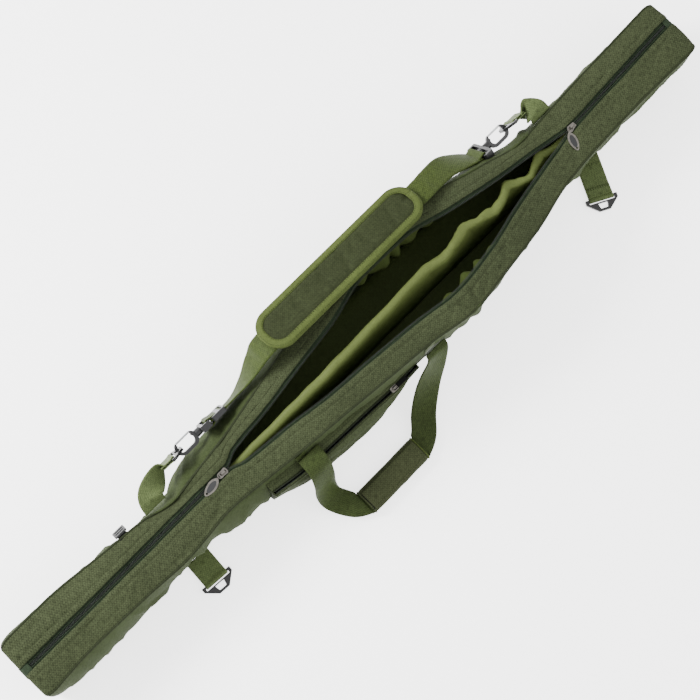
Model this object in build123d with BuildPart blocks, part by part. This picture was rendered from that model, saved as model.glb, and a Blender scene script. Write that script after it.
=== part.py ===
from build123d import *
import math
import os

os.makedirs("parts", exist_ok=True)

# A padded case for made-up fishing rods, lying on its back panel with the long front zip
# open in the middle.  Millimetres.  X runs along the case from the butt end to the tip end,
# Z is up from the face it rests on, and the origin is in the middle of the back panel.
# "left" is the +Y side, where the shoulder strap is, and "right" is the handle side.

# ---- driving dimensions ----
HALF_LENGTH = 670
WALL = 5
BULGE_SHARE = 0.45
SPLIT_BUTT = -280
SPLIT_TIP = 430

# ---- outline of the soft case, one value at each station along X ----
STATIONS = [
    -670, -590, -480, -410, -366, -320, -280, -255, -180, -110,
    -35, 45, 125, 200, 280, 360, 405, 430, 550, 670,
]
SEAM_Z = [
    103, 103, 103, 103, 103, 104, 105, 109, 120, 132,
    142, 148, 150, 143, 130, 114, 105, 104, 103, 103,
]
LIP_Z = [
    107, 107, 107, 107, 107, 107, 107, 111, 124, 138,
    150, 157, 158, 151, 137, 119, 107, 107, 107, 107,
]
LEFT_SEAM_Y = [
    47, 47, 37, 30, 20, 25, 30, 33, 46, 59,
    70, 77, 77, 68, 50, 33, 35, 37, 42, 46,
]
LEFT_BULGE_Y = [
    52, 50, 42, 37, 39, 56, 61, 63, 71, 78,
    84, 88, 86, 80, 68, 51, 48, 46, 46, 49,
]
LEFT_BASE_Y = [
    46, 46, 40, 36, 36, 48, 52, 55, 62, 68,
    72, 74, 74, 70, 60, 47, 44, 42, 42, 46,
]
RIGHT_SEAM_Y = [
    -47, -42, -45, -49, -46, -42, -45, -48, -57, -64,
    -72, -80, -92, -84, -74, -57, -52, -50, -47, -49,
]
RIGHT_BULGE_Y = [
    -50, -57, -54, -50, -49, -59, -62, -63, -66, -70,
    -76, -82, -88, -82, -72, -55, -52, -50, -46, -48,
]
RIGHT_BASE_Y = [
    -46, -50, -48, -46, -45, -52, -54, -55, -58, -62,
    -68, -74, -78, -74, -64, -48, -46, -45, -42, -44,
]
LEFT_LIP_Y = [
    0, 0, 0, 0, 0, 0, 0, 9, 16, 25,
    34, 50, 48, 31, 17, 7, 1, -3, 2, 7,
]
RIGHT_LIP_Y = [
    0, 0, 0, 0, 0, 0, 0, -8, -17, -28,
    -35, -43, -53, -45, -28, -14, -7, -3, 2, 7,
]

# ---- main zip ----
ZIP_GAP = 0.7
COIL_WIDTH = 2.5
COIL_TOP = 1.2
COIL_DEPTH = 2.6
TAPE_TOP = 1.8
TAPE_THICK = 1.4
TAPE_EDGE = 10
SLIDER_LONG = 14
SLIDER_WIDE = 10

# ---- divider ----
DIVIDER_END = 560
DIVIDER_THICK = 10
DIVIDER_BASE_Y = -14
DIVIDER_TOP_Y = -5
DIVIDER_DROP = 14
BINDING_HALF = 7
BINDING_DEPTH = 5

# ---- webbing and plastic fittings ----
WEB = 40
WEB_THICK = 2
RING_BAR_R = 2.0
RUN_FIT = 0.3
RING_WIDE = 52
RING_DEEP = 20
RING_THICK = 4

# ---- shoulder strap: the axis through the two swivel hooks ----
SWING_Y = 67
SWING_Z = 99
PAD_FROM = -124
PAD_TO = 182
PAD_Y = 84.5
PAD_Z = 163
PAD_WIDE = 70
PAD_THICK = 12
PAD_TILT = 21

# ---- carry handle ----
ROOT_BUTT = (-185, -64.5, 108)
ROOT_TIP = (51, -88, 118)
GRIP_FROM = -166
GRIP_TO = -52
GRIP_Y = -172
GRIP_Z = 11
GRIP_WIDE = 42
GRIP_THICK = 18


def at(x, row):
    """The value of an outline row at x, on the straight line between its stations."""
    for k in range(len(STATIONS) - 1):
        if STATIONS[k] <= x <= STATIONS[k + 1]:
            share = (x - STATIONS[k]) / (STATIONS[k + 1] - STATIONS[k])
            return row[k] + share * (row[k + 1] - row[k])
    raise ValueError(x)


def stations(start, end):
    """start, the outline's stations between, and end."""
    return [start] + [x for x in STATIONS if start < x < end] + [end]


def side_rows(side):
    """Seam, bulge, base and lip rows of one side: +1 is left and -1 is right."""
    if side > 0:
        return LEFT_SEAM_Y, LEFT_BULGE_Y, LEFT_BASE_Y, LEFT_LIP_Y
    return RIGHT_SEAM_Y, RIGHT_BULGE_Y, RIGHT_BASE_Y, RIGHT_LIP_Y


def side_y(x, z, side, wall=0):
    """A side panel at x and height z: its outer surface, or its inner one where wall is WALL."""
    seam, bulge, base, _ = side_rows(side)
    top = at(x, SEAM_Z)
    middle = BULGE_SHARE * top
    if z > middle:
        share = (z - middle) / (top - wall - middle)
        y = at(x, bulge) + share * (at(x, seam) - at(x, bulge))
    else:
        share = (z - wall) / (middle - wall)
        y = at(x, base) + share * (at(x, bulge) - at(x, base))
    return y - side * wall


def save(part, name):
    """Labels a finished part and writes its STEP file."""
    part.part.label = name
    export_step(part.part, "parts/" + name + ".step")


def along_case(name, outline, start=-HALF_LENGTH, end=HALF_LENGTH):
    """A soft part lofted along X through its outline at each station."""
    with BuildPart() as part:
        for x in stations(start, end):
            with BuildSketch(Plane.YZ.offset(x)):
                Polygon(*outline(x), align=None)
        loft(ruled=True)
    save(part, name)


def webbing(name, cuts, wide=WEB, folds=()):
    """A strap of webbing through cuts, each a centre, the way it runs and its width direction.

    folds are the parts of the same strap that are folded round a bar and sewn."""
    with BuildPart() as strap:
        for centre, run, width in cuts:
            with BuildSketch(Plane(origin=centre, x_dir=width, z_dir=run)):
                Rectangle(wide, WEB_THICK)
        loft(ruled=True)
        for fold in folds:
            add(fold.part)
    save(strap, name)


# ================= the case =================

def side_panel(side):
    seam, bulge, base, _ = side_rows(side)

    def outline(x):
        top = at(x, SEAM_Z)
        middle = BULGE_SHARE * top
        return [
            (at(x, seam), top),
            (at(x, bulge), middle),
            (at(x, base), 0),
            (at(x, base) - side * WALL, WALL),
            (at(x, bulge) - side * WALL, middle),
            (at(x, seam) - side * WALL, top - WALL),
        ]

    return outline


def front_panel(side):
    seam, _, _, lip = side_rows(side)

    def outline(x):
        return [
            (at(x, seam), at(x, SEAM_Z)),
            (at(x, lip) + side * TAPE_EDGE, at(x, LIP_Z)),
            (at(x, lip) + side * TAPE_EDGE, at(x, LIP_Z) - WALL),
            (at(x, seam) - side * WALL, at(x, SEAM_Z) - WALL),
        ]

    return outline


def back_panel(x):
    left, right = at(x, LEFT_BASE_Y), at(x, RIGHT_BASE_Y)
    return [(left, 0), (left - WALL, WALL), (right + WALL, WALL), (right, 0)]


def end_panel(x):
    """The inside of the case at x, up to the underside of the zip."""
    top = at(x, SEAM_Z)
    middle = BULGE_SHARE * top
    return [
        (at(x, LEFT_SEAM_Y) - WALL, top - WALL),
        (at(x, LEFT_BULGE_Y) - WALL, middle),
        (at(x, LEFT_BASE_Y) - WALL, WALL),
        (at(x, RIGHT_BASE_Y) + WALL, WALL),
        (at(x, RIGHT_BULGE_Y) + WALL, middle),
        (at(x, RIGHT_SEAM_Y) + WALL, top - WALL),
        (at(x, RIGHT_LIP_Y) - TAPE_EDGE, at(x, LIP_Z) - WALL),
        (at(x, LEFT_LIP_Y) + TAPE_EDGE, at(x, LIP_Z) - WALL),
    ]


def piping(side):
    seam = side_rows(side)[0]
    reach = 2.6
    stand = reach / 2

    def outline(x):
        y, z = at(x, seam) + side * stand, at(x, SEAM_Z) + stand
        return [(y + reach, z), (y, z + reach), (y - reach, z), (y, z - reach)]

    return outline


for side, word in ((1, "left"), (-1, "right")):
    along_case("side_panel_" + word, side_panel(side))
    along_case("front_panel_" + word, front_panel(side))
    along_case("seam_piping_" + word, piping(side))
along_case("back_panel", back_panel)
along_case("end_panel_butt", end_panel, -HALF_LENGTH, -HALF_LENGTH + WALL)
along_case("end_panel_tip", end_panel, HALF_LENGTH - WALL, HALF_LENGTH)


# ---- main zip: a tape and a row of coil on each lip of the opening ----

def zip_strip(side, near, far, top, depth):
    lip = side_rows(side)[3]

    def outline(x):
        y, z = at(x, lip), at(x, LIP_Z) - top
        return [
            (y + side * near, z),
            (y + side * far, z),
            (y + side * far, z - depth),
            (y + side * near, z - depth),
        ]

    return outline


COIL_EDGE = ZIP_GAP + COIL_WIDTH
for side, word in ((1, "left"), (-1, "right")):
    along_case("zip_coil_" + word, zip_strip(side, ZIP_GAP, COIL_EDGE, COIL_TOP, COIL_DEPTH))
    along_case("zip_tape_" + word, zip_strip(side, COIL_EDGE, TAPE_EDGE, TAPE_TOP, TAPE_THICK))

# A folded cloth tab covers each end of the zip and turns down over the end panel.
ZIP_END_LIP = (LIP_Z[0], LEFT_LIP_Y[0], LEFT_LIP_Y[-1])
TAB_THICK = 1.2
TAB_REACH = 16
TAB_DROP = 34
with BuildPart() as zip_end_tabs:
    for end, y in ((-1, ZIP_END_LIP[1]), (1, ZIP_END_LIP[2])):
        tip = end * HALF_LENGTH
        low = ZIP_END_LIP[0] - COIL_TOP + RUN_FIT
        with BuildSketch(Plane.XZ.offset(-y - TAPE_EDGE + 1)):
            with BuildLine():
                Polyline(
                    (tip - end * TAB_REACH, low),
                    (tip + end * RUN_FIT, low),
                    (tip + end * RUN_FIT, low - TAB_DROP),
                    (tip + end * (RUN_FIT + TAB_THICK), low - TAB_DROP),
                    (tip + end * (RUN_FIT + TAB_THICK), low + TAB_THICK),
                    (tip - end * TAB_REACH, low + TAB_THICK),
                    close=True,
                )
            make_face()
        extrude(amount=2 * (TAPE_EDGE - 1))
save(zip_end_tabs, "zip_end_tabs")


def zip_slider(name, x, y, z, open_way, turn):
    """A coil slider: two plates joined by a thin wedge between the coils, and a bridge on top."""
    heading = (open_way * math.cos(turn), open_way * math.sin(turn), 0)
    base = Plane(origin=(x, y, z), x_dir=heading, z_dir=(0, 0, 1))
    under = COIL_TOP + COIL_DEPTH + RUN_FIT
    above = -COIL_TOP + RUN_FIT
    plate = 1.4
    with BuildPart() as slider:
        for low, high in ((above, above + plate), (-under - plate, -under)):
            with BuildSketch(base.offset(low)):
                with BuildLine():
                    Polyline(
                        (-SLIDER_LONG / 2, -SLIDER_WIDE / 2 + 1.5),
                        (-SLIDER_LONG / 2 + 4, -SLIDER_WIDE / 2 + 1),
                        (SLIDER_LONG / 2 - 2, -SLIDER_WIDE / 2),
                        (SLIDER_LONG / 2, -SLIDER_WIDE / 2 + 2),
                        (SLIDER_LONG / 2, SLIDER_WIDE / 2 - 2),
                        (SLIDER_LONG / 2 - 2, SLIDER_WIDE / 2),
                        (-SLIDER_LONG / 2 + 4, SLIDER_WIDE / 2 - 1),
                        (-SLIDER_LONG / 2, SLIDER_WIDE / 2 - 1.5),
                        close=True,
                    )
                make_face()
            extrude(amount=high - low)
        with BuildSketch(base.offset(-under)):
            with Locations((SLIDER_LONG / 2 - 3, 0)):
                Rectangle(4, 0.8)
        extrude(amount=under + above)
        bridge = base.from_local_coords((0, 1.5, above + plate))
        with BuildSketch(Plane(origin=bridge, x_dir=base.x_dir, z_dir=-base.y_dir)):
            with BuildLine():
                Polyline((-5, -0.2), (5, -0.2), (5, 1.4), (3.2, 4.2), (-3.2, 4.2), (-5, 1.4), close=True)
            make_face()
            with BuildLine():
                Polyline((-3.4, 0), (3.4, 0), (3.4, 1.2), (2.3, 2.9), (-2.3, 2.9), (-3.4, 1.2), close=True)
            make_face(mode=Mode.SUBTRACT)
        extrude(amount=3)
    save(slider, name)
    return base, above + plate


def zip_pull(name, base, height, link_way, pull_way):
    """A link ring through the slider's bridge and, from its end, a drop-shaped pull with an inlay."""
    origin = base.from_local_coords((0, 0, height + 1.9))
    link_plane = Plane(origin=origin, x_dir=(math.cos(link_way), math.sin(link_way), 0), z_dir=(0, 0, 1))
    with BuildPart() as link:
        with BuildSketch(link_plane.offset(-LINK_WIRE / 2)):
            with Locations((LINK_LONG / 2 - 1, 0)):
                SlotOverall(LINK_LONG, LINK_WIDE)
                SlotOverall(LINK_LONG - 2.6, LINK_WIDE - 2.6, mode=Mode.SUBTRACT)
        extrude(amount=LINK_WIRE)
    save(link, name + "_link")
    joint = link_plane.from_local_coords((LINK_LONG - 0.7, 0, 0))
    flat = Plane(origin=joint, x_dir=(math.cos(pull_way), math.sin(pull_way), 0), z_dir=(0, 0, 1))
    half = PULL_WIDE / 2
    with BuildPart() as pull:
        with BuildSketch(flat.offset(-PULL_SINK)):
            with BuildLine():
                Spline(
                    (0, 0),
                    (3, half * 0.5),
                    (PULL_LONG * 0.62, half),
                    (PULL_LONG, 0),
                    (PULL_LONG * 0.62, -half),
                    (3, -half * 0.5),
                    (0, 0),
                )
            make_face()
            with Locations((PULL_LONG - 4, 0)):
                Circle(1.5, mode=Mode.SUBTRACT)
        extrude(amount=PULL_THICK)
        with BuildSketch(flat.offset(-PULL_SINK + PULL_THICK - INLAY_DEEP)):
            with Locations((PULL_LONG * 0.5, 0)):
                Ellipse(PULL_LONG * 0.33, PULL_WIDE * 0.32)
        extrude(amount=PULL_THICK, mode=Mode.SUBTRACT)
    save(pull, name)
    with BuildPart() as inlay:
        with BuildSketch(flat.offset(-PULL_SINK + PULL_THICK - INLAY_DEEP)):
            with Locations((PULL_LONG * 0.5, 0)):
                Ellipse(PULL_LONG * 0.33, PULL_WIDE * 0.32)
        extrude(amount=INLAY_DEEP + 0.2)
    save(inlay, name + "_inlay")


LINK_LONG = 11
LINK_WIDE = 9
LINK_WIRE = 1
PULL_LONG = 31
PULL_WIDE = 13
PULL_THICK = 2.4
PULL_SINK = 1.8
INLAY_DEEP = 0.9
TIP_RUN = math.atan2(LEFT_LIP_Y[-1] - LEFT_LIP_Y[-3], HALF_LENGTH - SPLIT_TIP)
BUTT_SLIDER_X = SPLIT_BUTT - SLIDER_LONG / 2 - 1
TIP_SLIDER_X = SPLIT_TIP + SLIDER_LONG / 2 + 1
butt_base, slider_top = zip_slider("slider_butt", BUTT_SLIDER_X, 0, LIP_Z[0], 1, 0)
tip_base, _ = zip_slider("slider_tip", TIP_SLIDER_X, at(TIP_SLIDER_X, LEFT_LIP_Y), LIP_Z[0], -1, TIP_RUN)
zip_pull("pull_butt", butt_base, slider_top, math.radians(182), math.radians(190))
zip_pull("pull_tip", tip_base, slider_top, TIP_RUN + math.radians(192), math.radians(250))


# ---- divider down the middle, with a bound top edge ----

def divider_core(x):
    top = at(x, LIP_Z) - DIVIDER_DROP
    half = DIVIDER_THICK / 2
    return [
        (DIVIDER_BASE_Y - half, WALL + RUN_FIT),
        (DIVIDER_BASE_Y + half, WALL + RUN_FIT),
        (DIVIDER_TOP_Y + half - 1, top),
        (DIVIDER_TOP_Y - half + 1, top),
    ]


def divider_binding(x):
    low = at(x, LIP_Z) - DIVIDER_DROP
    return [
        (DIVIDER_TOP_Y - BINDING_HALF, low),
        (DIVIDER_TOP_Y + BINDING_HALF, low),
        (DIVIDER_TOP_Y + BINDING_HALF - 3, low + BINDING_DEPTH),
        (DIVIDER_TOP_Y - BINDING_HALF + 3, low + BINDING_DEPTH),
    ]


along_case("divider_pad", divider_core, -DIVIDER_END, DIVIDER_END)
along_case("divider_binding", divider_binding, -DIVIDER_END, DIVIDER_END)


# ---- webbing sewn flat on a side panel, inside or outside ----

def on_side(name, side, spans, low, drop, near, far, wall=0):
    """Flat strips on a side panel, from height low up to drop below the seam and near to far off it."""
    with BuildPart() as strips:
        for start, end in spans:
            for x in stations(start, end):
                high = at(x, SEAM_Z) - drop
                heights = [low, high]
                middle = BULGE_SHARE * at(x, SEAM_Z)
                if low < middle:
                    heights = [low, middle, high]
                outer = [(side_y(x, z, side, wall) + side * far, z) for z in heights]
                inner = [(side_y(x, z, side, wall) + side * near, z) for z in reversed(heights)]
                with BuildSketch(Plane.YZ.offset(x)):
                    Polygon(*outer, *inner, align=None)
            loft(ruled=True)
    save(strips, name)


TIE_X = (-140, 104)
TIE_WIDE = 20
for side, word in ((1, "left"), (-1, "right")):
    spans = [(x, x + TIE_WIDE) for x in TIE_X]
    on_side("rod_tie_" + word, side, spans, 22, 14, -0.5, -2, WALL)
handle_spans = [(root[0] - WEB / 2, root[0] + WEB / 2) for root in (ROOT_BUTT, ROOT_TIP)]
on_side("handle_anchors", -1, handle_spans, 104.5, 6, 0.3, 2.3)

# ---- zipped pocket on the right side ----
POCKET_X = [-258, -195, -75, -20, 18]
POCKET_OUT = [-74, -92, -101, -97, -88]
POCKET_MOUTH = [-71, -80, -85.5, -88, -86.5]
POCKET_WALL = 3
POCKET_LOW = 12
POCKET_HIGH = 103
MOUTH_HALF = 4
MOUTH_Z = 95
SEW_GAP = 0.5


def pocket_value(x, row):
    for k in range(len(POCKET_X) - 1):
        if POCKET_X[k] <= x <= POCKET_X[k + 1]:
            share = (x - POCKET_X[k]) / (POCKET_X[k + 1] - POCKET_X[k])
            return row[k] + share * (row[k + 1] - row[k])
    raise ValueError(x)


def off_panel(x, z):
    """Just clear of the right side panel, for what is sewn to it."""
    return side_y(x, z, -1) - SEW_GAP


def pocket_front(x):
    out, mouth = pocket_value(x, POCKET_OUT), pocket_value(x, POCKET_MOUTH)
    foot = off_panel(x, POCKET_LOW)
    return [
        (foot, POCKET_LOW),
        (out, POCKET_LOW + 10),
        (out, 72),
        (mouth - MOUTH_HALF, MOUTH_Z),
        (mouth - MOUTH_HALF + 1, MOUTH_Z - POCKET_WALL),
        (out + POCKET_WALL, 71),
        (out + POCKET_WALL, POCKET_LOW + 12),
        (off_panel(x, POCKET_LOW + POCKET_WALL + 1), POCKET_LOW + POCKET_WALL + 1),
    ]


def pocket_top(x):
    mouth = pocket_value(x, POCKET_MOUTH)
    return [
        (mouth + MOUTH_HALF, MOUTH_Z + 1),
        (off_panel(x, POCKET_HIGH), POCKET_HIGH),
        (off_panel(x, POCKET_HIGH - POCKET_WALL), POCKET_HIGH - POCKET_WALL),
        (mouth + MOUTH_HALF, MOUTH_Z + 1 - POCKET_WALL),
    ]


def pocket_stations(start, end):
    return sorted({start, end} | {x for x in STATIONS + POCKET_X if start < x < end})


def along_pocket(name, outline, start=POCKET_X[0], end=POCKET_X[-1]):
    with BuildPart() as part:
        for x in pocket_stations(start, end):
            with BuildSketch(Plane.YZ.offset(x)):
                Polygon(*outline(x), align=None)
        loft(ruled=True)
    save(part, name)


along_pocket("pocket_front", pocket_front)
along_pocket("pocket_top", pocket_top)


def pocket_end(x):
    """The inside of the pocket at x, from the side panel out to its front wall."""
    out, mouth = pocket_value(x, POCKET_OUT), pocket_value(x, POCKET_MOUTH)
    foot = POCKET_LOW + POCKET_WALL + 1
    high = POCKET_HIGH - POCKET_WALL
    bend = BULGE_SHARE * at(x, SEAM_Z)
    return [
        (off_panel(x, foot), foot),
        (out + POCKET_WALL, POCKET_LOW + 12),
        (out + POCKET_WALL, 71),
        (mouth - MOUTH_HALF + 1, MOUTH_Z - POCKET_WALL),
        (mouth + MOUTH_HALF, MOUTH_Z + 1 - POCKET_WALL),
        (off_panel(x, high), high),
        (off_panel(x, bend), bend),
    ]


POCKET_ENDS = (
    (POCKET_X[0], POCKET_X[0] + POCKET_WALL),
    (POCKET_X[-1] - POCKET_WALL, POCKET_X[-1]),
)
with BuildPart() as pocket_ends:
    for start, end in POCKET_ENDS:
        for x in (start, end):
            with BuildSketch(Plane.YZ.offset(x)):
                Polygon(*pocket_end(x), align=None)
        loft(ruled=True)
save(pocket_ends, "pocket_ends")

MOUTH_FROM = -195
MOUTH_TO = -20
MOUTH_COIL = 1.6
with BuildPart() as pocket_zip:
    for side, lift in ((-1, 0), (1, 1)):
        for x in pocket_stations(POCKET_X[0], POCKET_X[-1]):
            edge = pocket_value(x, POCKET_MOUTH) + side * MOUTH_HALF
            z = MOUTH_Z + lift
            with BuildSketch(Plane.YZ.offset(x)):
                Polygon(
                    (edge, z - 0.2),
                    (edge - side * MOUTH_COIL, z - 0.2),
                    (edge - side * MOUTH_COIL, z - 2.2),
                    (edge, z - 2.2),
                    align=None,
                )
        loft(ruled=True)
save(pocket_zip, "pocket_zip")

POCKET_RUN = math.atan2(POCKET_MOUTH[3] - POCKET_MOUTH[1], MOUTH_TO - MOUTH_FROM)
POCKET_SLIDER_X = -30
pocket_base = Plane(
    origin=(POCKET_SLIDER_X, pocket_value(POCKET_SLIDER_X, POCKET_MOUTH), MOUTH_Z + 1.4),
    x_dir=(math.cos(POCKET_RUN), math.sin(POCKET_RUN), 0),
    z_dir=(0, 0, 1),
)
with BuildPart() as pocket_slider:
    for low, wide in ((0, 8), (-5.6, 4.6)):
        with BuildSketch(pocket_base.offset(low)):
            RectangleRounded(12, wide, 1.5)
        extrude(amount=1.2)
    with BuildSketch(pocket_base.offset(-5)):
        Rectangle(5, 3)
    extrude(amount=5.5)
    bridge = pocket_base.from_local_coords((0, 1, 1.2))
    with BuildSketch(Plane(origin=bridge, x_dir=pocket_base.x_dir, z_dir=-pocket_base.y_dir)):
        with BuildLine():
            Polyline((-4, -0.2), (4, -0.2), (4, 1.2), (2.6, 3.2), (-2.6, 3.2), (-4, 1.2), close=True)
        make_face()
        with BuildLine():
            Polyline((-2.8, 0), (2.8, 0), (2.8, 1), (1.9, 2.2), (-1.9, 2.2), (-2.8, 1), close=True)
        make_face(mode=Mode.SUBTRACT)
    extrude(amount=2)
save(pocket_slider, "pocket_slider")

POCKET_PULL_LONG = 26
with BuildPart() as pocket_pull:
    with BuildSketch(pocket_base.offset(1.2 + 0.6)):
        with Locations((POCKET_PULL_LONG / 2 - 1.8, 0)):
            RectangleRounded(POCKET_PULL_LONG, 6, 1.2)
        with Locations((2.4, 0)):
            Rectangle(6, 3.4, mode=Mode.SUBTRACT)
    extrude(amount=0.9)
save(pocket_pull, "pocket_pull")


# ================= the four tabs and their rings =================

def ring_at(name, plane):
    """A ring in a plane: x is across, y points away from the webbing, and the bar is on the x axis."""
    arm = 5
    with BuildPart() as ring:
        with BuildSketch(plane.offset(-RING_THICK / 2)):
            with BuildLine():
                Polyline(
                    (-RING_WIDE / 2, -RING_BAR_R),
                    (-RING_WIDE / 2, 5),
                    (-9, RING_DEEP),
                    (9, RING_DEEP),
                    (RING_WIDE / 2, 5),
                    (RING_WIDE / 2, -RING_BAR_R),
                    close=True,
                )
            make_face()
            with BuildLine():
                Polyline((-8, 7.5), (8, 7.5), (6, RING_DEEP - 4), (-6, RING_DEEP - 4), close=True)
            make_face(mode=Mode.SUBTRACT)
            with Locations((0, 1)):
                Rectangle(RING_WIDE - 2 * arm, 9, mode=Mode.SUBTRACT)
        extrude(amount=RING_THICK)
        fillet(ring.edges().filter_by(Axis(plane.origin, plane.z_dir)).group_by(SortBy.LENGTH)[-1], 1)
        bar_end = plane.from_local_coords((-RING_WIDE / 2 + 1, 0, 0))
        with BuildSketch(Plane(origin=bar_end, z_dir=plane.x_dir)):
            Circle(RING_BAR_R)
        extrude(amount=RING_WIDE - 2)
    save(ring, name)


LOOP_IN = RING_BAR_R + RUN_FIT
LOOP_OUT = LOOP_IN + 1.8


def right_tab(word, root, bar):
    """A doubled webbing tab that lies on the ground from the root out to its ring."""
    run = (Vector(*bar) - Vector(*root)).normalized()
    across = Vector(0, 0, 1).cross(run)
    section = Plane(origin=bar, x_dir=run, z_dir=across)
    long = (Vector(*bar) - Vector(*root)).length
    with BuildPart() as tab:
        with BuildSketch(section.offset(-WEB / 2)):
            with Locations((-long / 2 - TAB_SPARE / 2, 0)):
                Rectangle(long + TAB_SPARE, TAB_THICK)
            Circle(LOOP_OUT)
            Circle(LOOP_IN, mode=Mode.SUBTRACT)
        extrude(amount=WEB)
        # The sewn edge runs along the case, however the tab slants away from it.
        with Locations((root[0], root[1] + WEB, root[2])):
            Box(4 * WEB, 2 * WEB, WEB, mode=Mode.SUBTRACT)
    save(tab, "tab_" + word)
    ring_at("ring_" + word, Plane(origin=bar, x_dir=across * -1, z_dir=(0, 0, 1)))


TAB_Z = 4.4
TAB_THICK = 3.6
TAB_SPARE = 24
right_tab("right_butt", (-395, -52, TAB_Z), (-398, -93, TAB_Z))
right_tab("right_tip", (454.6, -50, TAB_Z), (427, -104, TAB_Z))
on_side("tab_anchors_right", -1, [(-415, -375), (433, 473)], 8, 60, 0.3, 2.3)


def left_tab(word, way, root, bar):
    """A webbing loop from the seam that arches out and turns along the case to its ring.

    way is +1 where the ring points to +X and -1 where it points to -X."""
    bx, by, bz = bar
    rx, ry, rz = root
    cuts = [
        (root, (0, 0.6, 0.8), (1, 0, 0)),
        ((rx + way * 3, ry + 9, rz + 8), (way * 0.25, 0.95, 0.2), (0.95, -way * 0.25, 0)),
        ((rx + way * 13, ry + 18, rz + 8), (way * 0.75, 0.65, -0.1), (0.6, -way * 0.7, -way * 0.35)),
        ((bx - way * 26, by - 2, bz + 3), (way, 0.1, -0.1), (0, -way * 0.5, -way * 0.85)),
        ((bx - way * 13.1, by, bz), (way, 0, 0), LEAN * -way),
    ]
    section = Plane(origin=bar, x_dir=(way, 0, 0), z_dir=LEAN * -way)
    with BuildPart() as fold:
        with BuildSketch(section.offset(-TAB_WEB / 2)):
            with Locations((-7.5, 0)):
                Rectangle(11, 3.6)
            Circle(LOOP_OUT)
            Circle(LOOP_IN, mode=Mode.SUBTRACT)
        extrude(amount=TAB_WEB)
    webbing("tab_" + word, cuts, TAB_WEB, [fold])
    ring_at("ring_" + word, Plane(origin=bar, x_dir=LEAN, z_dir=LEAN.cross(Vector(way, 0, 0))))


TAB_WEB = 38
LEAN = Vector(0, -0.29, 0.957).normalized()
BUTT_FACE = -267
TIP_FACE = 324
RING_FROM_FACE = 56.5
left_tab("left_butt", 1, (-387, 36, 103), (BUTT_FACE - RING_FROM_FACE, SWING_Y, SWING_Z))
left_tab("left_tip", -1, (420, 43, 104), (TIP_FACE + RING_FROM_FACE, SWING_Y, SWING_Z))


# ================= shoulder strap =================
PEG_R = 2.5
PEG_FIT = 0.06
HOOK_THICK = 5
GATE_SIDE = Vector(0, 0.957, 0.29)
LOOP_LONG = 16
LOOP_BAR = 5
LOOP_INNER = 4
LOOP_SLOT = LOOP_LONG - LOOP_BAR - LOOP_INNER


def snap_hook(word, face, way):
    """A swivel snap hook beyond the strap's loop; way is the direction along X it points."""
    ahead = Vector(way, 0, 0)
    flat = Plane(origin=(face, SWING_Y, SWING_Z), x_dir=ahead, z_dir=ahead.cross(GATE_SIDE))
    neck = (face - way * (LOOP_BAR + 2.6), SWING_Y, SWING_Z)
    with BuildPart() as hook:
        with BuildSketch(flat.offset(-HOOK_THICK / 2)):
            with Locations((27, 0)):
                SlotOverall(40, 24)
            with Locations((28, 0)):
                SlotOverall(29, 14, mode=Mode.SUBTRACT)
            with Locations((27, 9.5)):
                Rectangle(25, 9, mode=Mode.SUBTRACT)
        extrude(amount=HOOK_THICK)
        with BuildSketch(Plane(origin=flat.origin, z_dir=ahead)):
            Circle(6)
        extrude(amount=8)
        with BuildSketch(Plane(origin=neck, z_dir=ahead)):
            Circle(PEG_R)
        extrude(amount=LOOP_BAR + 3)
        with BuildSketch(Plane(origin=neck, z_dir=ahead)):
            Circle(4.2)
        extrude(amount=2)
    save(hook, "hook_" + word)
    with BuildPart() as gate:
        with BuildSketch(flat.offset(-1.6)):
            with BuildLine():
                Polyline((14.9, 8.2), (39.1, 8.2), (39.1, 11.2), (14.9, 11.2), close=True)
            make_face()
        extrude(amount=3.2)
        fillet(gate.edges().filter_by(Axis((0, 0, 0), (1, 0, 0))), 1.2)
    save(gate, "gate_" + word)


def strap_loop(word, face, way, width):
    """The strap's loop: webbing goes round its inner bar, and the hook's peg through its outer one."""
    upright = Vector(*width).cross(Vector(way, 0, 0))
    flat = Plane(origin=(face, SWING_Y, SWING_Z), x_dir=width, z_dir=upright)
    with BuildPart() as loop:
        with BuildSketch(flat.offset(-LOOP_BAR)):
            with Locations((0, -LOOP_LONG / 2 - RUN_FIT)):
                RectangleRounded(WEB + 10, LOOP_LONG, 2.5)
            with Locations((0, -RUN_FIT - LOOP_BAR - LOOP_SLOT / 2)):
                Rectangle(WEB + 2, LOOP_SLOT, mode=Mode.SUBTRACT)
        extrude(amount=2 * LOOP_BAR)
        with BuildSketch(Plane(origin=(face + way * 20, SWING_Y, SWING_Z), z_dir=(-way, 0, 0))):
            Circle(PEG_R + PEG_FIT)
        extrude(amount=28, mode=Mode.SUBTRACT)
    save(loop, "strap_loop_" + word)


def strap_fold(face, way, width):
    """The end of the strap, folded round the inner bar of its loop."""
    inner = Plane(
        origin=(face - way * (RUN_FIT + LOOP_LONG - LOOP_INNER / 2), SWING_Y, SWING_Z),
        x_dir=(way, 0, 0),
        z_dir=width,
    )
    with BuildPart() as fold:
        with BuildSketch(inner.offset(-WEB / 2)):
            RectangleRounded(LOOP_INNER + 2 * RUN_FIT + 3.6, 2 * LOOP_BAR + 2 * RUN_FIT + 3.6, 2)
            Rectangle(LOOP_INNER + 2 * RUN_FIT, 2 * LOOP_BAR + 2 * RUN_FIT, mode=Mode.SUBTRACT)
        extrude(amount=WEB)
    return fold


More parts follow.
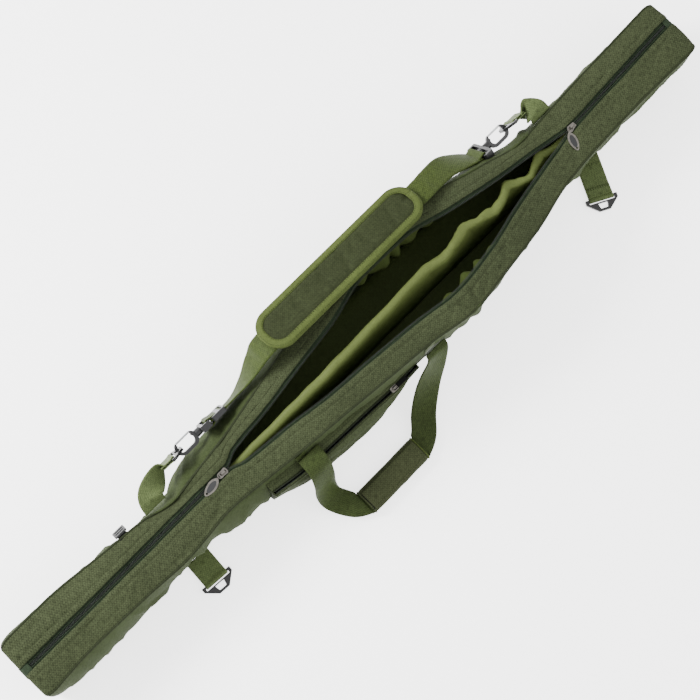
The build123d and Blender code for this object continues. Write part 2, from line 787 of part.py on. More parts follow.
BUTT_WIDTH = (0, 0.25, -0.968)
TIP_WIDTH = (0, 0.6, -0.8)
along_x = (1, 0, 0)
PAD_ACROSS = (0, math.cos(math.radians(PAD_TILT)), -math.sin(math.radians(PAD_TILT)))
PAD_NORMAL = (0, math.sin(math.radians(PAD_TILT)), math.cos(math.radians(PAD_TILT)))
snap_hook("butt", BUTT_FACE, -1)
snap_hook("tip", TIP_FACE, 1)
strap_loop("butt", BUTT_FACE, -1, BUTT_WIDTH)
strap_loop("tip", TIP_FACE, 1, TIP_WIDTH)

CUFF_OUT = RUN_FIT + LOOP_LONG + RUN_FIT + 1.8
UNDER_PAD = PAD_THICK / 2 + 1.5
under_y = PAD_Y - UNDER_PAD * PAD_NORMAL[1]
under_z = PAD_Z - UNDER_PAD * PAD_NORMAL[2]
strap_cuts = [
    ((BUTT_FACE + CUFF_OUT, SWING_Y, SWING_Z), along_x, BUTT_WIDTH),
    ((-205, SWING_Y, SWING_Z), along_x, BUTT_WIDTH),
    ((-175, 71, 114), (0.9, 0.2, 0.4), (0, 0.5, -0.87)),
    ((-148, 78, 135), (0.85, 0.2, 0.5), (0, 0.8, -0.6)),
    ((PAD_FROM, under_y, under_z), along_x, PAD_ACROSS),
    ((PAD_TO, under_y, under_z), along_x, PAD_ACROSS),
    ((217, 84, 147), (0.9, 0, -0.35), (0, 0.96, -0.28)),
    ((250, 85, 131), (0.9, -0.1, -0.4), (0, 0.97, -0.25)),
    ((280, 77, 113), (0.85, -0.3, -0.4), (0, 0.86, -0.51)),
    ((TIP_FACE - CUFF_OUT, SWING_Y, SWING_Z), along_x, TIP_WIDTH),
]
strap_folds = [strap_fold(BUTT_FACE, -1, BUTT_WIDTH), strap_fold(TIP_FACE, 1, TIP_WIDTH)]
webbing("strap_webbing", strap_cuts, WEB, strap_folds)

ADJUSTER_X = -234
GLIDE = Plane(
    origin=(ADJUSTER_X, SWING_Y, SWING_Z),
    x_dir=BUTT_WIDTH,
    z_dir=Vector(*BUTT_WIDTH).cross(Vector(1, 0, 0)),
)
with BuildPart() as strap_adjuster:
    with BuildSketch(GLIDE.offset(-4)):
        RectangleRounded(WEB + 10, 24, 3)
    extrude(amount=8)
    with BuildSketch(GLIDE.offset(-1 - RUN_FIT)):
        Rectangle(WEB + 1, 30)
    extrude(amount=2 + 2 * RUN_FIT, mode=Mode.SUBTRACT)
    with BuildSketch(GLIDE.offset(-10)):
        with Locations((0, -6.5), (0, 6.5)):
            Rectangle(WEB + 1, 5)
    extrude(amount=20, mode=Mode.SUBTRACT)
save(strap_adjuster, "strap_adjuster")

PAD_LONG = PAD_TO - PAD_FROM
PAD_FLAT = Plane(origin=((PAD_FROM + PAD_TO) / 2, PAD_Y, PAD_Z), x_dir=(1, 0, 0), z_dir=PAD_NORMAL)
BINDING = 7
with BuildPart() as pad_binding:
    with BuildSketch(PAD_FLAT.offset(-PAD_THICK / 2 + 1)):
        RectangleRounded(PAD_LONG, PAD_WIDE, 30)
        RectangleRounded(PAD_LONG - 2 * BINDING, PAD_WIDE - 2 * BINDING, 23, mode=Mode.SUBTRACT)
    extrude(amount=PAD_THICK - 2)
save(pad_binding, "pad_binding")
with BuildPart() as pad_cover:
    with BuildSketch(PAD_FLAT.offset(-PAD_THICK / 2)):
        RectangleRounded(PAD_LONG - 2 * BINDING, PAD_WIDE - 2 * BINDING, 23)
    extrude(amount=PAD_THICK)
    with BuildSketch(PAD_FLAT.offset(-PAD_THICK / 2 + 1.5)):
        RectangleRounded(PAD_LONG - 2 * BINDING - 4, PAD_WIDE - 2 * BINDING - 4, 21)
    extrude(amount=PAD_THICK - 3, mode=Mode.SUBTRACT)
save(pad_cover, "pad_cover")
with BuildPart() as pad_foam:
    with BuildSketch(PAD_FLAT.offset(-PAD_THICK / 2 + 1.5)):
        RectangleRounded(PAD_LONG - 2 * BINDING - 4, PAD_WIDE - 2 * BINDING - 4, 21)
    extrude(amount=PAD_THICK - 3)
save(pad_foam, "pad_foam")


# ================= carry handle =================
HANDLE_WEB = 38
butt_leg = [
    ((ROOT_BUTT[0], ROOT_BUTT[1] - 1, ROOT_BUTT[2]), (0, -1, 0), along_x),
    ((-187, -90, 105), (0, -0.9, -0.4), along_x),
    ((-192, -107, 82), (-0.1, -0.4, -0.9), along_x),
    ((-197, -118, 42), (-0.05, -0.35, -0.93), along_x),
    ((-196, -133, 15), (0.2, -0.9, -0.35), (0.97, 0.2, 0)),
    ((-183, -158, GRIP_Z + 1), (0.72, -0.69, 0), (0.69, 0.72, 0)),
    ((GRIP_FROM - 2, GRIP_Y, GRIP_Z), (1, 0, 0), (0, 1, 0)),
]
tip_leg = [
    ((GRIP_TO + 2, GRIP_Y, GRIP_Z), (1, 0, 0), (0, 1, 0)),
    ((-32, -161, GRIP_Z + 3), (0.75, 0.66, 0), (-0.66, 0.75, 0)),
    ((-12, -140, 22), (0.62, 0.76, 0.2), (-0.77, 0.63, 0)),
    ((14, -119, 50), (0.5, 0.5, 0.7), (-0.85, 0.5, 0.15)),
    ((36, -106, 90), (0.3, 0.3, 0.9), (-0.95, 0.3, 0.1)),
    ((48, -98, 112), (0.1, 0.8, 0.5), (-1, 0.1, 0)),
    ((ROOT_TIP[0], ROOT_TIP[1] - 1, ROOT_TIP[2]), (0, 1, 0), (-1, 0, 0)),
]
webbing("handle_leg_butt", butt_leg, HANDLE_WEB)
webbing("handle_leg_tip", tip_leg, HANDLE_WEB)
GRIP_SECTION = Plane.YZ.offset(GRIP_FROM)
GRIP_LONG = GRIP_TO - GRIP_FROM
with BuildPart() as grip_wrap:
    with BuildSketch(GRIP_SECTION):
        with Locations((GRIP_Y, GRIP_Z)):
            RectangleRounded(GRIP_WIDE, GRIP_THICK, 8)
            Rectangle(HANDLE_WEB + 1, WEB_THICK + 1.2, mode=Mode.SUBTRACT)
    extrude(amount=GRIP_LONG)
save(grip_wrap, "grip_wrap")
with BuildPart() as handle_middle:
    with BuildSketch(Plane.YZ.offset(GRIP_FROM - 2)):
        with Locations((GRIP_Y, GRIP_Z)):
            Rectangle(HANDLE_WEB, WEB_THICK)
    extrude(amount=GRIP_LONG + 4)
save(handle_middle, "handle_webbing_middle")
FLAP_THICK = 2.4
with BuildPart() as grip_flap:
    with BuildSketch(GRIP_SECTION.offset(3)):
        with Locations((GRIP_Y, GRIP_Z + GRIP_THICK / 2 + RUN_FIT + FLAP_THICK / 2)):
            Rectangle(GRIP_WIDE - 12, FLAP_THICK)
    extrude(amount=GRIP_LONG - 6)
save(grip_flap, "grip_flap")

# ---- small keeper buckle on the left seam near the butt ----
KEEPER = Plane(origin=(-447, 42.5, 100), x_dir=(1, 0, 0), z_dir=(0, 0.8, 0.6))
with BuildPart() as keeper_buckle:
    with BuildSketch(KEEPER.offset(1)):
        RectangleRounded(20, 14, 2)
        with Locations((0, -2.6), (0, 2.6)):
            Rectangle(14, 2.4, mode=Mode.SUBTRACT)
    extrude(amount=3)
save(keeper_buckle, "keeper_buckle")
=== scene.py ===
import bpy
import bmesh
import math
import random
import numpy as np
from mathutils import Matrix, Vector, noise


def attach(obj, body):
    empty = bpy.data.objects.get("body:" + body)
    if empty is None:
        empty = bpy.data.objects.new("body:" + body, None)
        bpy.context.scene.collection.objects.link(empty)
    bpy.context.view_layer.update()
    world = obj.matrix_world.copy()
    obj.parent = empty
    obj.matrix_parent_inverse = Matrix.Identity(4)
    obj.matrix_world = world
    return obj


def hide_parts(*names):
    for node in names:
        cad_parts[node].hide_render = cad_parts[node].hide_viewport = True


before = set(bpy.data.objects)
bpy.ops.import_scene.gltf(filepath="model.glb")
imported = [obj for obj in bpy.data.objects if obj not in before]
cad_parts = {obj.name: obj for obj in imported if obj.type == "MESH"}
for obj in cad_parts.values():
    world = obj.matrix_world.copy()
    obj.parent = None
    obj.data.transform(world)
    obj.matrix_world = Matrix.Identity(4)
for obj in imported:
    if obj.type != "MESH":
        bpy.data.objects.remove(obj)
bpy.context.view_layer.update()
rng = random.Random(41)

# Everything below is worked out in millimetres, in the frame of the CAD model:
# X along the case to the tip end, +Y the strap's side, Z up from the floor.
MM = 0.001

# ---------------------------------------------------------------- outline of the case
HALF = 670          # half the case's length
END_ROUND = 20      # the stretch before each end over which the outline draws in
END_DRAW = 0.13     # the share by which its width draws in there
HEIGHT_DRAW = 0.055  # and the share for its height
STATIONS = [-670, -590, -480, -410, -366, -320, -280, -255, -180, -110,
            -35, 45, 125, 200, 280, 360, 405, 430, 550, 670]
SEAM_Z = [103, 103, 103, 103, 103, 104, 105, 109, 120, 132, 142, 148, 150, 143, 130, 114, 105, 104, 103,
          103]
LIP_Z = [107, 107, 107, 107, 107, 107, 107, 111, 124, 138, 150, 157, 158, 151, 137, 119, 107, 107, 107, 107]
SEAM_Y = {1: [47, 47, 37, 30, 20, 25, 30, 33, 46, 59, 70, 77, 77, 68, 50, 33, 35, 37, 42, 46],
          -1: [-47, -42, -45, -49, -46, -42, -45, -48, -57, -64, -72, -80, -92, -84, -74, -57, -52, -50,
               -47, -49]}
BULGE_Y = {1: [52, 50, 42, 37, 39, 56, 61, 63, 71, 78, 84, 88, 86, 80, 68, 51, 48, 46, 46, 49],
           -1: [-50, -57, -54, -50, -49, -59, -62, -63, -66, -70, -76, -82, -88, -82, -72, -55, -52, -50,
                -46, -48]}
BASE_Y = {1: [46, 46, 40, 36, 36, 48, 52, 55, 62, 68, 72, 74, 74, 70, 60, 47, 44, 42, 42, 46],
          -1: [-46, -50, -48, -46, -45, -52, -54, -55, -58, -62, -68, -74, -78, -74, -64, -48, -46, -45,
               -42, -44]}
LIP_Y = {1: [0, 0, 0, 0, 0, 0, 0, 9, 16, 25, 34, 50, 48, 31, 17, 7, 1, -3, 2, 7],
         -1: [0, 0, 0, 0, 0, 0, 0, -8, -17, -28, -35, -43, -53, -45, -28, -14, -7, -3, 2, 7]}


def smooth_row(row, xs, stations=STATIONS, ends=END_DRAW):
    """A row of the outline at each x, as a smooth curve that never overshoots its stations.

    ends is the share by which it draws in over the last stretch before the case's two ends."""
    s, r = np.array(stations, float), np.array(row, float)
    step, slope = np.diff(s), np.diff(r) / np.diff(s)
    m = np.zeros(len(s))
    m[0], m[-1] = slope[0], slope[-1]
    for k in range(1, len(s) - 1):
        if slope[k - 1] * slope[k] > 0:
            w1, w2 = 2 * step[k] + step[k - 1], step[k] + 2 * step[k - 1]
            m[k] = (w1 + w2) / (w1 / slope[k - 1] + w2 / slope[k])
    xs = np.clip(np.array(xs, float), s[0], s[-1])
    i = np.clip(np.searchsorted(s, xs, side="right") - 1, 0, len(s) - 2)
    h = step[i]
    t = (xs - s[i]) / h
    smooth = ((2 * t**3 - 3 * t**2 + 1) * r[i] + (t**3 - 2 * t**2 + t) * h * m[i]
              + (3 * t**2 - 2 * t**3) * r[i + 1] + (t**3 - t**2) * h * m[i + 1])
    near = np.clip((np.abs(xs) - HALF + END_ROUND) / END_ROUND, 0, 1)
    return smooth * (1 - ends * (1 - np.sqrt(1 - near**2)))


def height_row(row, xs):
    """As smooth_row, for the seam's and the zip's heights, which draw in less at the ends."""
    return smooth_row(row, xs, ends=HEIGHT_DRAW)


# ---------------------------------------------------------------- materials
def srgb(r, g, b):
    """A colour as it looks on screen, 0 to 255, as linear values."""
    linear = []
    for c in (r / 255, g / 255, b / 255):
        linear.append(c / 12.92 if c <= 0.04045 else ((c + 0.055) / 1.055) ** 2.4)
    return tuple(linear) + (1,)


STUDIO_GAIN = 0.56  # the studio's light is bright, so cloth colours are this much deeper


def dye(r, g, b):
    """The colour that looks like r, g, b on cloth under the studio's light."""
    return tuple(c * STUDIO_GAIN for c in srgb(r, g, b)[:3]) + (1,)


def shade(colour, k):
    return tuple(min(1, c * k) for c in colour[:3]) + (1,)


class Nodes:
    """Short names for building a material's nodes."""

    def __init__(self, name, rough, spec=0.3, metal=0.0, sheen=0.0):
        self.material = bpy.data.materials.new(name)
        self.material.use_nodes = True
        self.tree = self.material.node_tree
        self.shader = self.tree.nodes["Principled BSDF"]
        self.shader.inputs["Roughness"].default_value = rough
        self.shader.inputs["Specular IOR Level"].default_value = spec
        self.shader.inputs["Metallic"].default_value = metal
        self.shader.inputs["Sheen Weight"].default_value = sheen
        self.shader.inputs["Sheen Roughness"].default_value = 0.5

    def link(self, a, b):
        self.tree.links.new(a, b)

    def math(self, op, a, b=0.0, c=0.0):
        node = self.tree.nodes.new("ShaderNodeMath")
        node.operation = op
        for k, value in enumerate((a, b, c)):
            if isinstance(value, (int, float)):
                node.inputs[k].default_value = value
            else:
                self.link(value, node.inputs[k])
        return node.outputs[0]

    def noise(self, vector, scale, detail=3.0, rough=0.55):
        node = self.tree.nodes.new("ShaderNodeTexNoise")
        node.inputs["Scale"].default_value = scale
        node.inputs["Detail"].default_value = detail
        node.inputs["Roughness"].default_value = rough
        self.link(vector, node.inputs["Vector"])
        return node.outputs["Fac"]

    def stretched(self, vector, scale):
        node = self.tree.nodes.new("ShaderNodeMapping")
        node.inputs["Scale"].default_value = scale
        self.link(vector, node.inputs["Vector"])
        return node.outputs[0]

    def ramp(self, fac, stops):
        node = self.tree.nodes.new("ShaderNodeValToRGB")
        elements = node.color_ramp.elements
        elements[0].position, elements[0].color = stops[0]
        elements[1].position, elements[1].color = stops[-1]
        for position, colour in stops[1:-1]:
            elements.new(position).color = colour
        self.link(fac, node.inputs["Fac"])
        return node.outputs["Color"]

    def mix(self, fac, a, b, blend="MIX"):
        node = self.tree.nodes.new("ShaderNodeMix")
        node.data_type = "RGBA"
        node.blend_type = blend
        for socket, value in ((node.inputs[0], fac), (node.inputs[6], a), (node.inputs[7], b)):
            if isinstance(value, (int, float, tuple)):
                socket.default_value = value
            else:
                self.link(value, socket)
        return node.outputs[2]

    def bump(self, height, strength, distance):
        node = self.tree.nodes.new("ShaderNodeBump")
        node.inputs["Strength"].default_value = strength
        node.inputs["Distance"].default_value = distance
        self.link(height, node.inputs["Height"])
        self.link(node.outputs[0], self.shader.inputs["Normal"])


def cloth_material(name, colour, along=1.5, across=1.5, contrast=0.30, rough=0.85, sheen=0.12, bump=0.5,
                   patch=0.22, coords="UV"):
    """Woven cloth, with slubs and faded patches.

    along and across are the weave's pitch in millimetres. coords is UV, or Object for a piece without UVs of
    its own making; both are in metres."""
    n = Nodes(name, rough, 0.05, sheen=sheen)
    n.shader.inputs["Sheen Tint"].default_value = shade(colour, 2.2)
    co = n.tree.nodes.new("ShaderNodeTexCoord")
    place = co.outputs[coords]
    split = n.tree.nodes.new("ShaderNodeSeparateXYZ")
    n.link(place, split.inputs[0])
    wave_u = n.math("SINE", n.math("MULTIPLY", split.outputs[0], 1000 * math.pi / along))
    wave_v = n.math("SINE", n.math("MULTIPLY", split.outputs[1], 1000 * math.pi / across))
    weave = n.math("MULTIPLY_ADD", n.math("MULTIPLY", wave_u, wave_v), 0.5, 0.5)
    warp = n.noise(n.stretched(place, (130, 850, 130)), 1.0, 2.0)
    weft = n.noise(n.stretched(place, (850, 130, 130)), 1.0, 2.0)
    threads = n.math("MULTIPLY_ADD", n.math("ADD", warp, weft), 0.5, 0.0)
    grain = n.math("MULTIPLY_ADD", weave, 0.16, n.math("MULTIPLY", threads, 0.84))
    patches = n.noise(place, 11, 3.0)
    deep, pale = shade(colour, 1 - contrast), shade(colour, 1 + contrast)
    base = n.ramp(grain, [(0.36, deep), (0.64, pale)])
    faded = n.ramp(patches, [(0.30, shade((1, 1, 1, 1), 1 - patch)), (0.72, (1, 1, 1, 1))])
    n.link(n.mix(1.0, base, faded, "MULTIPLY"), n.shader.inputs["Base Color"])
    n.link(n.math("MULTIPLY_ADD", grain, -0.25, rough + 0.12), n.shader.inputs["Roughness"])
    n.bump(grain, bump, 0.0005)
    return n.material


def solid_material(name, colour, rough, metal=0.0, grain=900, bump=0.06, spec=0.5, wear=0.15):
    """Moulded plastic, rubber or plated metal: fine grain, scuffs and uneven gloss on object coordinates."""
    n = Nodes(name, rough, spec, metal)
    co = n.tree.nodes.new("ShaderNodeTexCoord")
    fine = n.noise(co.outputs["Object"], grain, 2.0)
    scuff = n.noise(n.stretched(co.outputs["Object"], (1, 4, 2)), 90, 5.0, 0.7)
    worn = n.ramp(scuff, [(0.35, shade(colour, 1 - wear)), (0.68, shade(colour, 1 + 1.4 * wear))])
    speckle = n.ramp(fine, [(0.3, shade((1, 1, 1, 1), 0.93)), (0.7, (1, 1, 1, 1))])
    n.link(n.mix(1.0, worn, speckle, "MULTIPLY"), n.shader.inputs["Base Color"])
    n.link(n.math("MULTIPLY_ADD", scuff, 0.30, rough - 0.14), n.shader.inputs["Roughness"])
    n.bump(fine, bump, 0.0002)
    return n.material


FRONT = cloth_material("front_cloth", dye(73, 81, 56), 2.0, 2.0, 0.50, 0.86, 0.0, 0.8)
SIDE = cloth_material("side_cloth", dye(70, 81, 50), 1.4, 1.4, 0.30, 0.8, 0.0, 0.4)
POCKET = cloth_material("pocket_cloth", dye(72, 81, 54), 2.0, 2.0, 0.44, 0.82, 0.0, 0.7)
LINING = cloth_material("lining_cloth", dye(92, 106, 60), 1.6, 1.6, 0.25, 0.5, 0.05, 0.4)
FRILL = cloth_material("frill_cloth", dye(72, 84, 44), 1.6, 1.6, 0.20, 0.55, 0.05, 0.3)
PIPING = cloth_material("piping_cloth", dye(56, 63, 43), 1.2, 1.2, 0.3, 0.8, 0.0, 0.6)
TAPE = cloth_material("tape_cloth", dye(57, 70, 52), 0.9, 2.0, 0.38, 0.75, 0.04, 0.6)
LIME = cloth_material("divider_cloth", dye(112, 125, 70), 1.4, 1.4, 0.14, 0.45, 0.10, 0.25, 0.14)
BINDING = cloth_material("binding_cloth", dye(92, 105, 56), 2.2, 1.4, 0.28, 0.72, 0.0, 0.7)
WEBBING = cloth_material("webbing_cloth", dye(74, 87, 44), 3.0, 1.7, 0.50, 0.55, 0.02, 0.9)
TAB = cloth_material("tab_cloth", dye(108, 123, 78), 2.6, 1.6, 0.40, 0.5, 0.02, 0.8)
HANDLE = cloth_material("handle_cloth", dye(68, 80, 44), 2.8, 1.5, 0.44, 0.5, 0.04, 0.7)
GRIP = cloth_material("grip_cloth", dye(78, 84, 58), 2.0, 2.0, 0.40, 0.82, 0.0, 0.7)
PAD = cloth_material("pad_cloth", dye(57, 64, 41), 2.0, 2.0, 0.36, 0.8, 0.0, 0.7, coords="Object")
ELASTIC = cloth_material("elastic_cloth", dye(30, 31, 30), 1.0, 2.0, 0.4, 0.8, 0.05, 0.7)
LOOPS = cloth_material("fastener_cloth", dye(36, 40, 32), 1.1, 1.1, 0.6, 0.95, 0.0, 1.0)
THREAD = cloth_material("thread", dye(58, 66, 42), 0.6, 0.6, 0.3, 0.7, 0.0, 0.4)
PALE_THREAD = cloth_material("pale_thread", dye(100, 112, 70), 0.6, 0.6, 0.3, 0.7, 0.0, 0.4)
COIL = solid_material("coil_nylon", dye(38, 48, 37), 0.62, wear=0.3)
BLACK = solid_material("black_acetal", dye(24, 25, 26), 0.36, bump=0.10, wear=0.25)
CHROME = solid_material("chrome_plate", srgb(190, 192, 192), 0.20, 1.0, 300, 0.03, wear=0.08)
NICKEL = solid_material("nickel_plate", srgb(120, 116, 110), 0.34, 1.0, 400, 0.06, wear=0.22)
INLAY = solid_material("inlay_rubber", dye(30, 31, 32), 0.62, grain=500, bump=0.2, wear=0.2)


# ---------------------------------------------------------------- mesh helpers
def make(name, points, faces, uvs, material, body, hides=()):
    """A mesh piece from points in millimetres, none below the floor, with UVs in metres for each point."""
    mesh = bpy.data.meshes.new(name)
    points = np.array(points, float)
    points[:, 2] = np.maximum(points[:, 2], 0)
    mesh.from_pydata((points * MM).tolist(), [], faces)
    layer = mesh.uv_layers.new(name="UVMap")
    at_point = np.asarray(uvs, np.float32)
    index = np.empty(len(mesh.loops), np.int32)
    mesh.loops.foreach_get("vertex_index", index)
    layer.data.foreach_set("uv", at_point[index].ravel())
    bm = bmesh.new()
    bm.from_mesh(mesh)
    bmesh.ops.recalc_face_normals(bm, faces=bm.faces)
    bm.to_mesh(mesh)
    bm.free()
    mesh.polygons.foreach_set("use_smooth", [True] * len(mesh.polygons))
    mesh.materials.append(material)
    piece = bpy.data.objects.new(name, mesh)
    bpy.context.scene.collection.objects.link(piece)
    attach(piece, body)
    if hides:
        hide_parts(*hides)
    return piece


def column(x, y, z):
    """Points from rows of numbers, or from one number for all of them."""
    return np.stack(np.broadcast_arrays(x, y, z), axis=1)


def sweep(count, rule):
    """A grid whose columns are rule(t), its x, y and z, for count steps of t from 0 to 1."""
    return np.stack([column(*rule(t)) for t in np.linspace(0, 1, count)], axis=1)


def normals(grid):
    """Unit normals at each point of a grid."""
    n = np.cross(np.gradient(grid, axis=0), np.gradient(grid, axis=1))
    return n / np.maximum(np.linalg.norm(n, axis=2, keepdims=True), 1e-9)


def fuzz(grid, size, seed=0.0, squeeze=(1, 1, 1)):
    """Smooth noise from -1 to 1 at each point, in lumps about size mm across."""
    flat = grid.reshape(-1, 3) / (size * np.array(squeeze, float)) + seed * 13.7
    return np.array([noise.noise(Vector(p)) for p in flat]).reshape(grid.shape[:2])


def creases(grid, out, marks):
    """Presses marks into the cloth: from a to b, so wide and so deep; a negative depth is a ridge."""
    for a, b, width, depth in marks:
        a, b = np.array(a, float), np.array(b, float)
        t = ((grid - a) @ (b - a)) / ((b - a) @ (b - a))
        near = np.clip(t, 0, 1)
        far = np.linalg.norm(grid - (a + near[..., None] * (b - a)), axis=2)
        fade = 1 - np.abs(2 * near - 1) ** 3 * 0.7
        grid = grid - out * (depth * fade * np.exp(-((far / width) ** 2)))[..., None]
    return grid


def distances(path):
    """How far along a path each of its points is."""
    return np.concatenate([[0], np.cumsum(np.linalg.norm(np.diff(path, axis=0), axis=1))])


def sheet(name, grid, thick, material, body, hides=(), out=1):
    """A cloth of the given thickness on a grid of points. out is the sign of its outer side."""
    nu, nv = grid.shape[:2]
    face = normals(grid) * out
    inner = grid - face * thick
    along, across = distances(grid[:, nv // 2]), distances(grid[nu // 2])
    uv = np.stack(np.meshgrid(along, across, indexing="ij"), axis=2).reshape(-1, 2) * MM
    points = np.concatenate([grid.reshape(-1, 3), inner.reshape(-1, 3)])
    size = nu * nv

    def at(i, j, layer=0):
        return layer * size + i * nv + j

    faces = []
    for i in range(nu - 1):
        for j in range(nv - 1):
            faces.append((at(i, j), at(i + 1, j), at(i + 1, j + 1), at(i, j + 1)))
            faces.append((at(i, j, 1), at(i, j + 1, 1), at(i + 1, j + 1, 1), at(i + 1, j, 1)))
    for i in range(nu - 1):
        for j in (0, nv - 1):
            faces.append((at(i, j), at(i, j, 1), at(i + 1, j, 1), at(i + 1, j)))
    for j in range(nv - 1):
        for i in (0, nu - 1):
            faces.append((at(i, j), at(i, j + 1), at(i, j + 1, 1), at(i, j, 1)))
    return make(name, points, faces, np.concatenate([uv, uv]), material, body, hides)


def frames_along(path):
    """Unit directions along a path."""
    d = np.gradient(np.asarray(path, float), axis=0)
    return d / np.maximum(np.linalg.norm(d, axis=1, keepdims=True), 1e-9)


def tube(name, path, radius, material, body, hides=(), sides=8, up=(0, 0, 1), flat=1.0):
    """A round cord of cloth, wire or thread along a path; flat squeezes it along up."""
    path = np.asarray(path, float)
    run = frames_along(path)
    side = np.cross(run, np.array(up, float))
    side /= np.maximum(np.linalg.norm(side, axis=1, keepdims=True), 1e-9)
    top = np.cross(side, run)
    points, uvs = [], []
    length = distances(path)
    radius = np.broadcast_to(radius, len(path))
    for k in range(len(path)):
        for s in range(sides):
            a = 2 * math.pi * s / sides
            points.append(path[k] + radius[k] * (math.cos(a) * side[k] + flat * math.sin(a) * top[k]))
            uvs.append((length[k] * MM, radius[k] * min(a, 2 * math.pi - a) * MM))
    faces = []
    for k in range(len(path) - 1):
        for s in range(sides):
            t = (s + 1) % sides
            faces.append((k * sides + s, k * sides + t, (k + 1) * sides + t, (k + 1) * sides + s))
    faces.append(tuple(range(sides)))
    faces.append(tuple(range((len(path) - 1) * sides, len(path) * sides)))
    return make(name, points, faces, uvs, material, body, hides)


def catmull(values, per):
    """A smooth curve through rows of numbers, with so many steps between each two."""
    v = np.asarray(values, float)
    v = np.concatenate([[2 * v[0] - v[1]], v, [2 * v[-1] - v[-2]]])
    rows = []
    for k in range(1, len(v) - 2):
        a, b, c, d = v[k - 1:k + 3]
        for t in np.arange(per) / per:
            bend, twist = 2 * a - 5 * b + 4 * c - d, 3 * b - a - 3 * c + d
            rows.append(0.5 * (2 * b + (c - a) * t + bend * t**2 + twist * t**3))
    rows.append(v[-2])
    return np.array(rows)


def ribbon_grid(cuts, wide, per=10, cup=0.0, ripple=0.3, seed=0):
    """Webbing through cuts, each a point and the direction of its width, as a grid of points.

    cup arches it across its width, and ripple is the height of its waves."""
    centres = catmull([c[0] for c in cuts], per)
    widths = catmull([np.array(c[1], float) / np.linalg.norm(c[1]) for c in cuts], per)
    widths /= np.linalg.norm(widths, axis=1, keepdims=True)
    run = frames_along(centres)
    up = np.cross(run, widths)
    up /= np.linalg.norm(up, axis=1, keepdims=True)
    across = np.linspace(-0.5, 0.5, 13)
    grid = centres[:, None] + widths[:, None] * (across * wide)[None, :, None]
    bend = cup * (1 - (2 * across) ** 2)
    wave = fuzz(grid, 30, seed) * ripple
    return grid + up[:, None] * (bend[None, :] + wave)[..., None]


def ribbon(name, cuts, wide, thick, material, body, hides=(), per=10, cup=0.0, ripple=0.3, seed=0):
    grid = ribbon_grid(cuts, wide, per, cup, ripple, seed)
    grid = grid + normals(grid) * (thick / 2)
    return sheet(name, grid, thick, material, body, hides)


def stitches(name, rows, body, material=THREAD, long=2.6, gap=1.3, wide=0.55, high=0.35):
    """Raised dashes of thread. Each row is (points, direction the thread stands out)."""
    points, faces, uvs = [], [], []
    for path, out in rows:
        path = np.asarray(path, float)
        total = distances(path)
        out = np.broadcast_to(np.asarray(out, float), path.shape)
        s = gap
        while s + long < total[-1]:
            ends = [np.array([np.interp(t, total, path[:, k]) for k in range(3)]) for t in (s, s + long)]
            up = np.array([np.interp(s, total, out[:, k]) for k in range(3)])
            run = (ends[1] - ends[0]) / max(np.linalg.norm(ends[1] - ends[0]), 1e-9)
            side = np.cross(run, up)
            side /= max(np.linalg.norm(side), 1e-9)
            k = len(points)
            middle = (ends[0] + ends[1]) / 2
            points += [ends[0], middle + side * wide, middle - side * wide, ends[1],
                       middle + up * high * 2, middle - up * 0.3]
            uvs += [(0, 0), (0.001, 0.0005), (0.001, 0), (0.002, 0), (0.001, 0.001), (0.001, 0.002)]
            for a, b in ((0, 1), (1, 3), (3, 2), (2, 0)):
                faces.append((k + a, k + b, k + 4))
                faces.append((k + b, k + a, k + 5))
            s += long + gap
    return make(name, points, faces, uvs, material, body)


# ---------------------------------------------------------------- the soft shell
LONG = np.concatenate([np.linspace(-HALF, -HALF + 24, 13), np.linspace(-HALF + 28, HALF - 28, 320),
                       np.linspace(HALF - 24, HALF, 13)])


def side_grid(side, xs=LONG, rows=26):
    """Side panel from the seam down to the base, with its lumps."""
    zs, ys = height_row(SEAM_Z, xs), smooth_row(SEAM_Y[side], xs)
    yb, ya = smooth_row(BULGE_Y[side], xs), smooth_row(BASE_Y[side], xs)
    grid = np.zeros((len(xs), rows, 3))
    for j, t in enumerate(np.linspace(0, 1, rows)):
        z = zs * (1 - t)
        mid = 0.45 * zs
        y = (ys * (z - mid) * z / ((zs - mid) * zs) + yb * (zs - z) * z / ((zs - mid) * mid)
             + ya * (z - zs) * (z - mid) / (zs * mid))
        corner = np.clip(1 - z / 14, 0, 1)
        grid[:, j] = column(xs, y - side * 7 * corner**2, z + 0.4)
    out = normals(grid) * -side
    calm = np.sin(np.linspace(0, math.pi, rows)) ** 0.6
    lumps = (2.6 * fuzz(grid, 120, 1 + side) + 0.9 * fuzz(grid, 46, 3 + side, (1, 1, 1.8))
             + 0.5 * fuzz(grid, 17, 5 + side, (0.7, 1, 1.6)))
    tight = 1 - np.abs(fuzz(grid, 60, 8 + side, (0.6, 1, 2.0)))
    move = (lumps - 2.4 * tight**8) * calm
    if side > 0:
        # The cloth is lower beside the strap's hardware, which swings down past it.
        beside = np.exp(-(((xs + 205) / 135) ** 6))[:, None]
        move = move - beside * (np.maximum(move, 0) + 1.6) * calm
    grid = grid + out * move[..., None]
    grid[..., 2] = np.maximum(grid[..., 2], 0.4)
    return grid


def wall_at(side, x, rows):
    """The side panel's section at x, from the seam down."""
    return side_grid(side, np.array([x - 1.0, x, x + 1.0]), rows)[1]


def wall_y(wall, z):
    """How far out that section is at a height."""
    return np.interp(z, wall[::-1, 2], wall[::-1, 1])


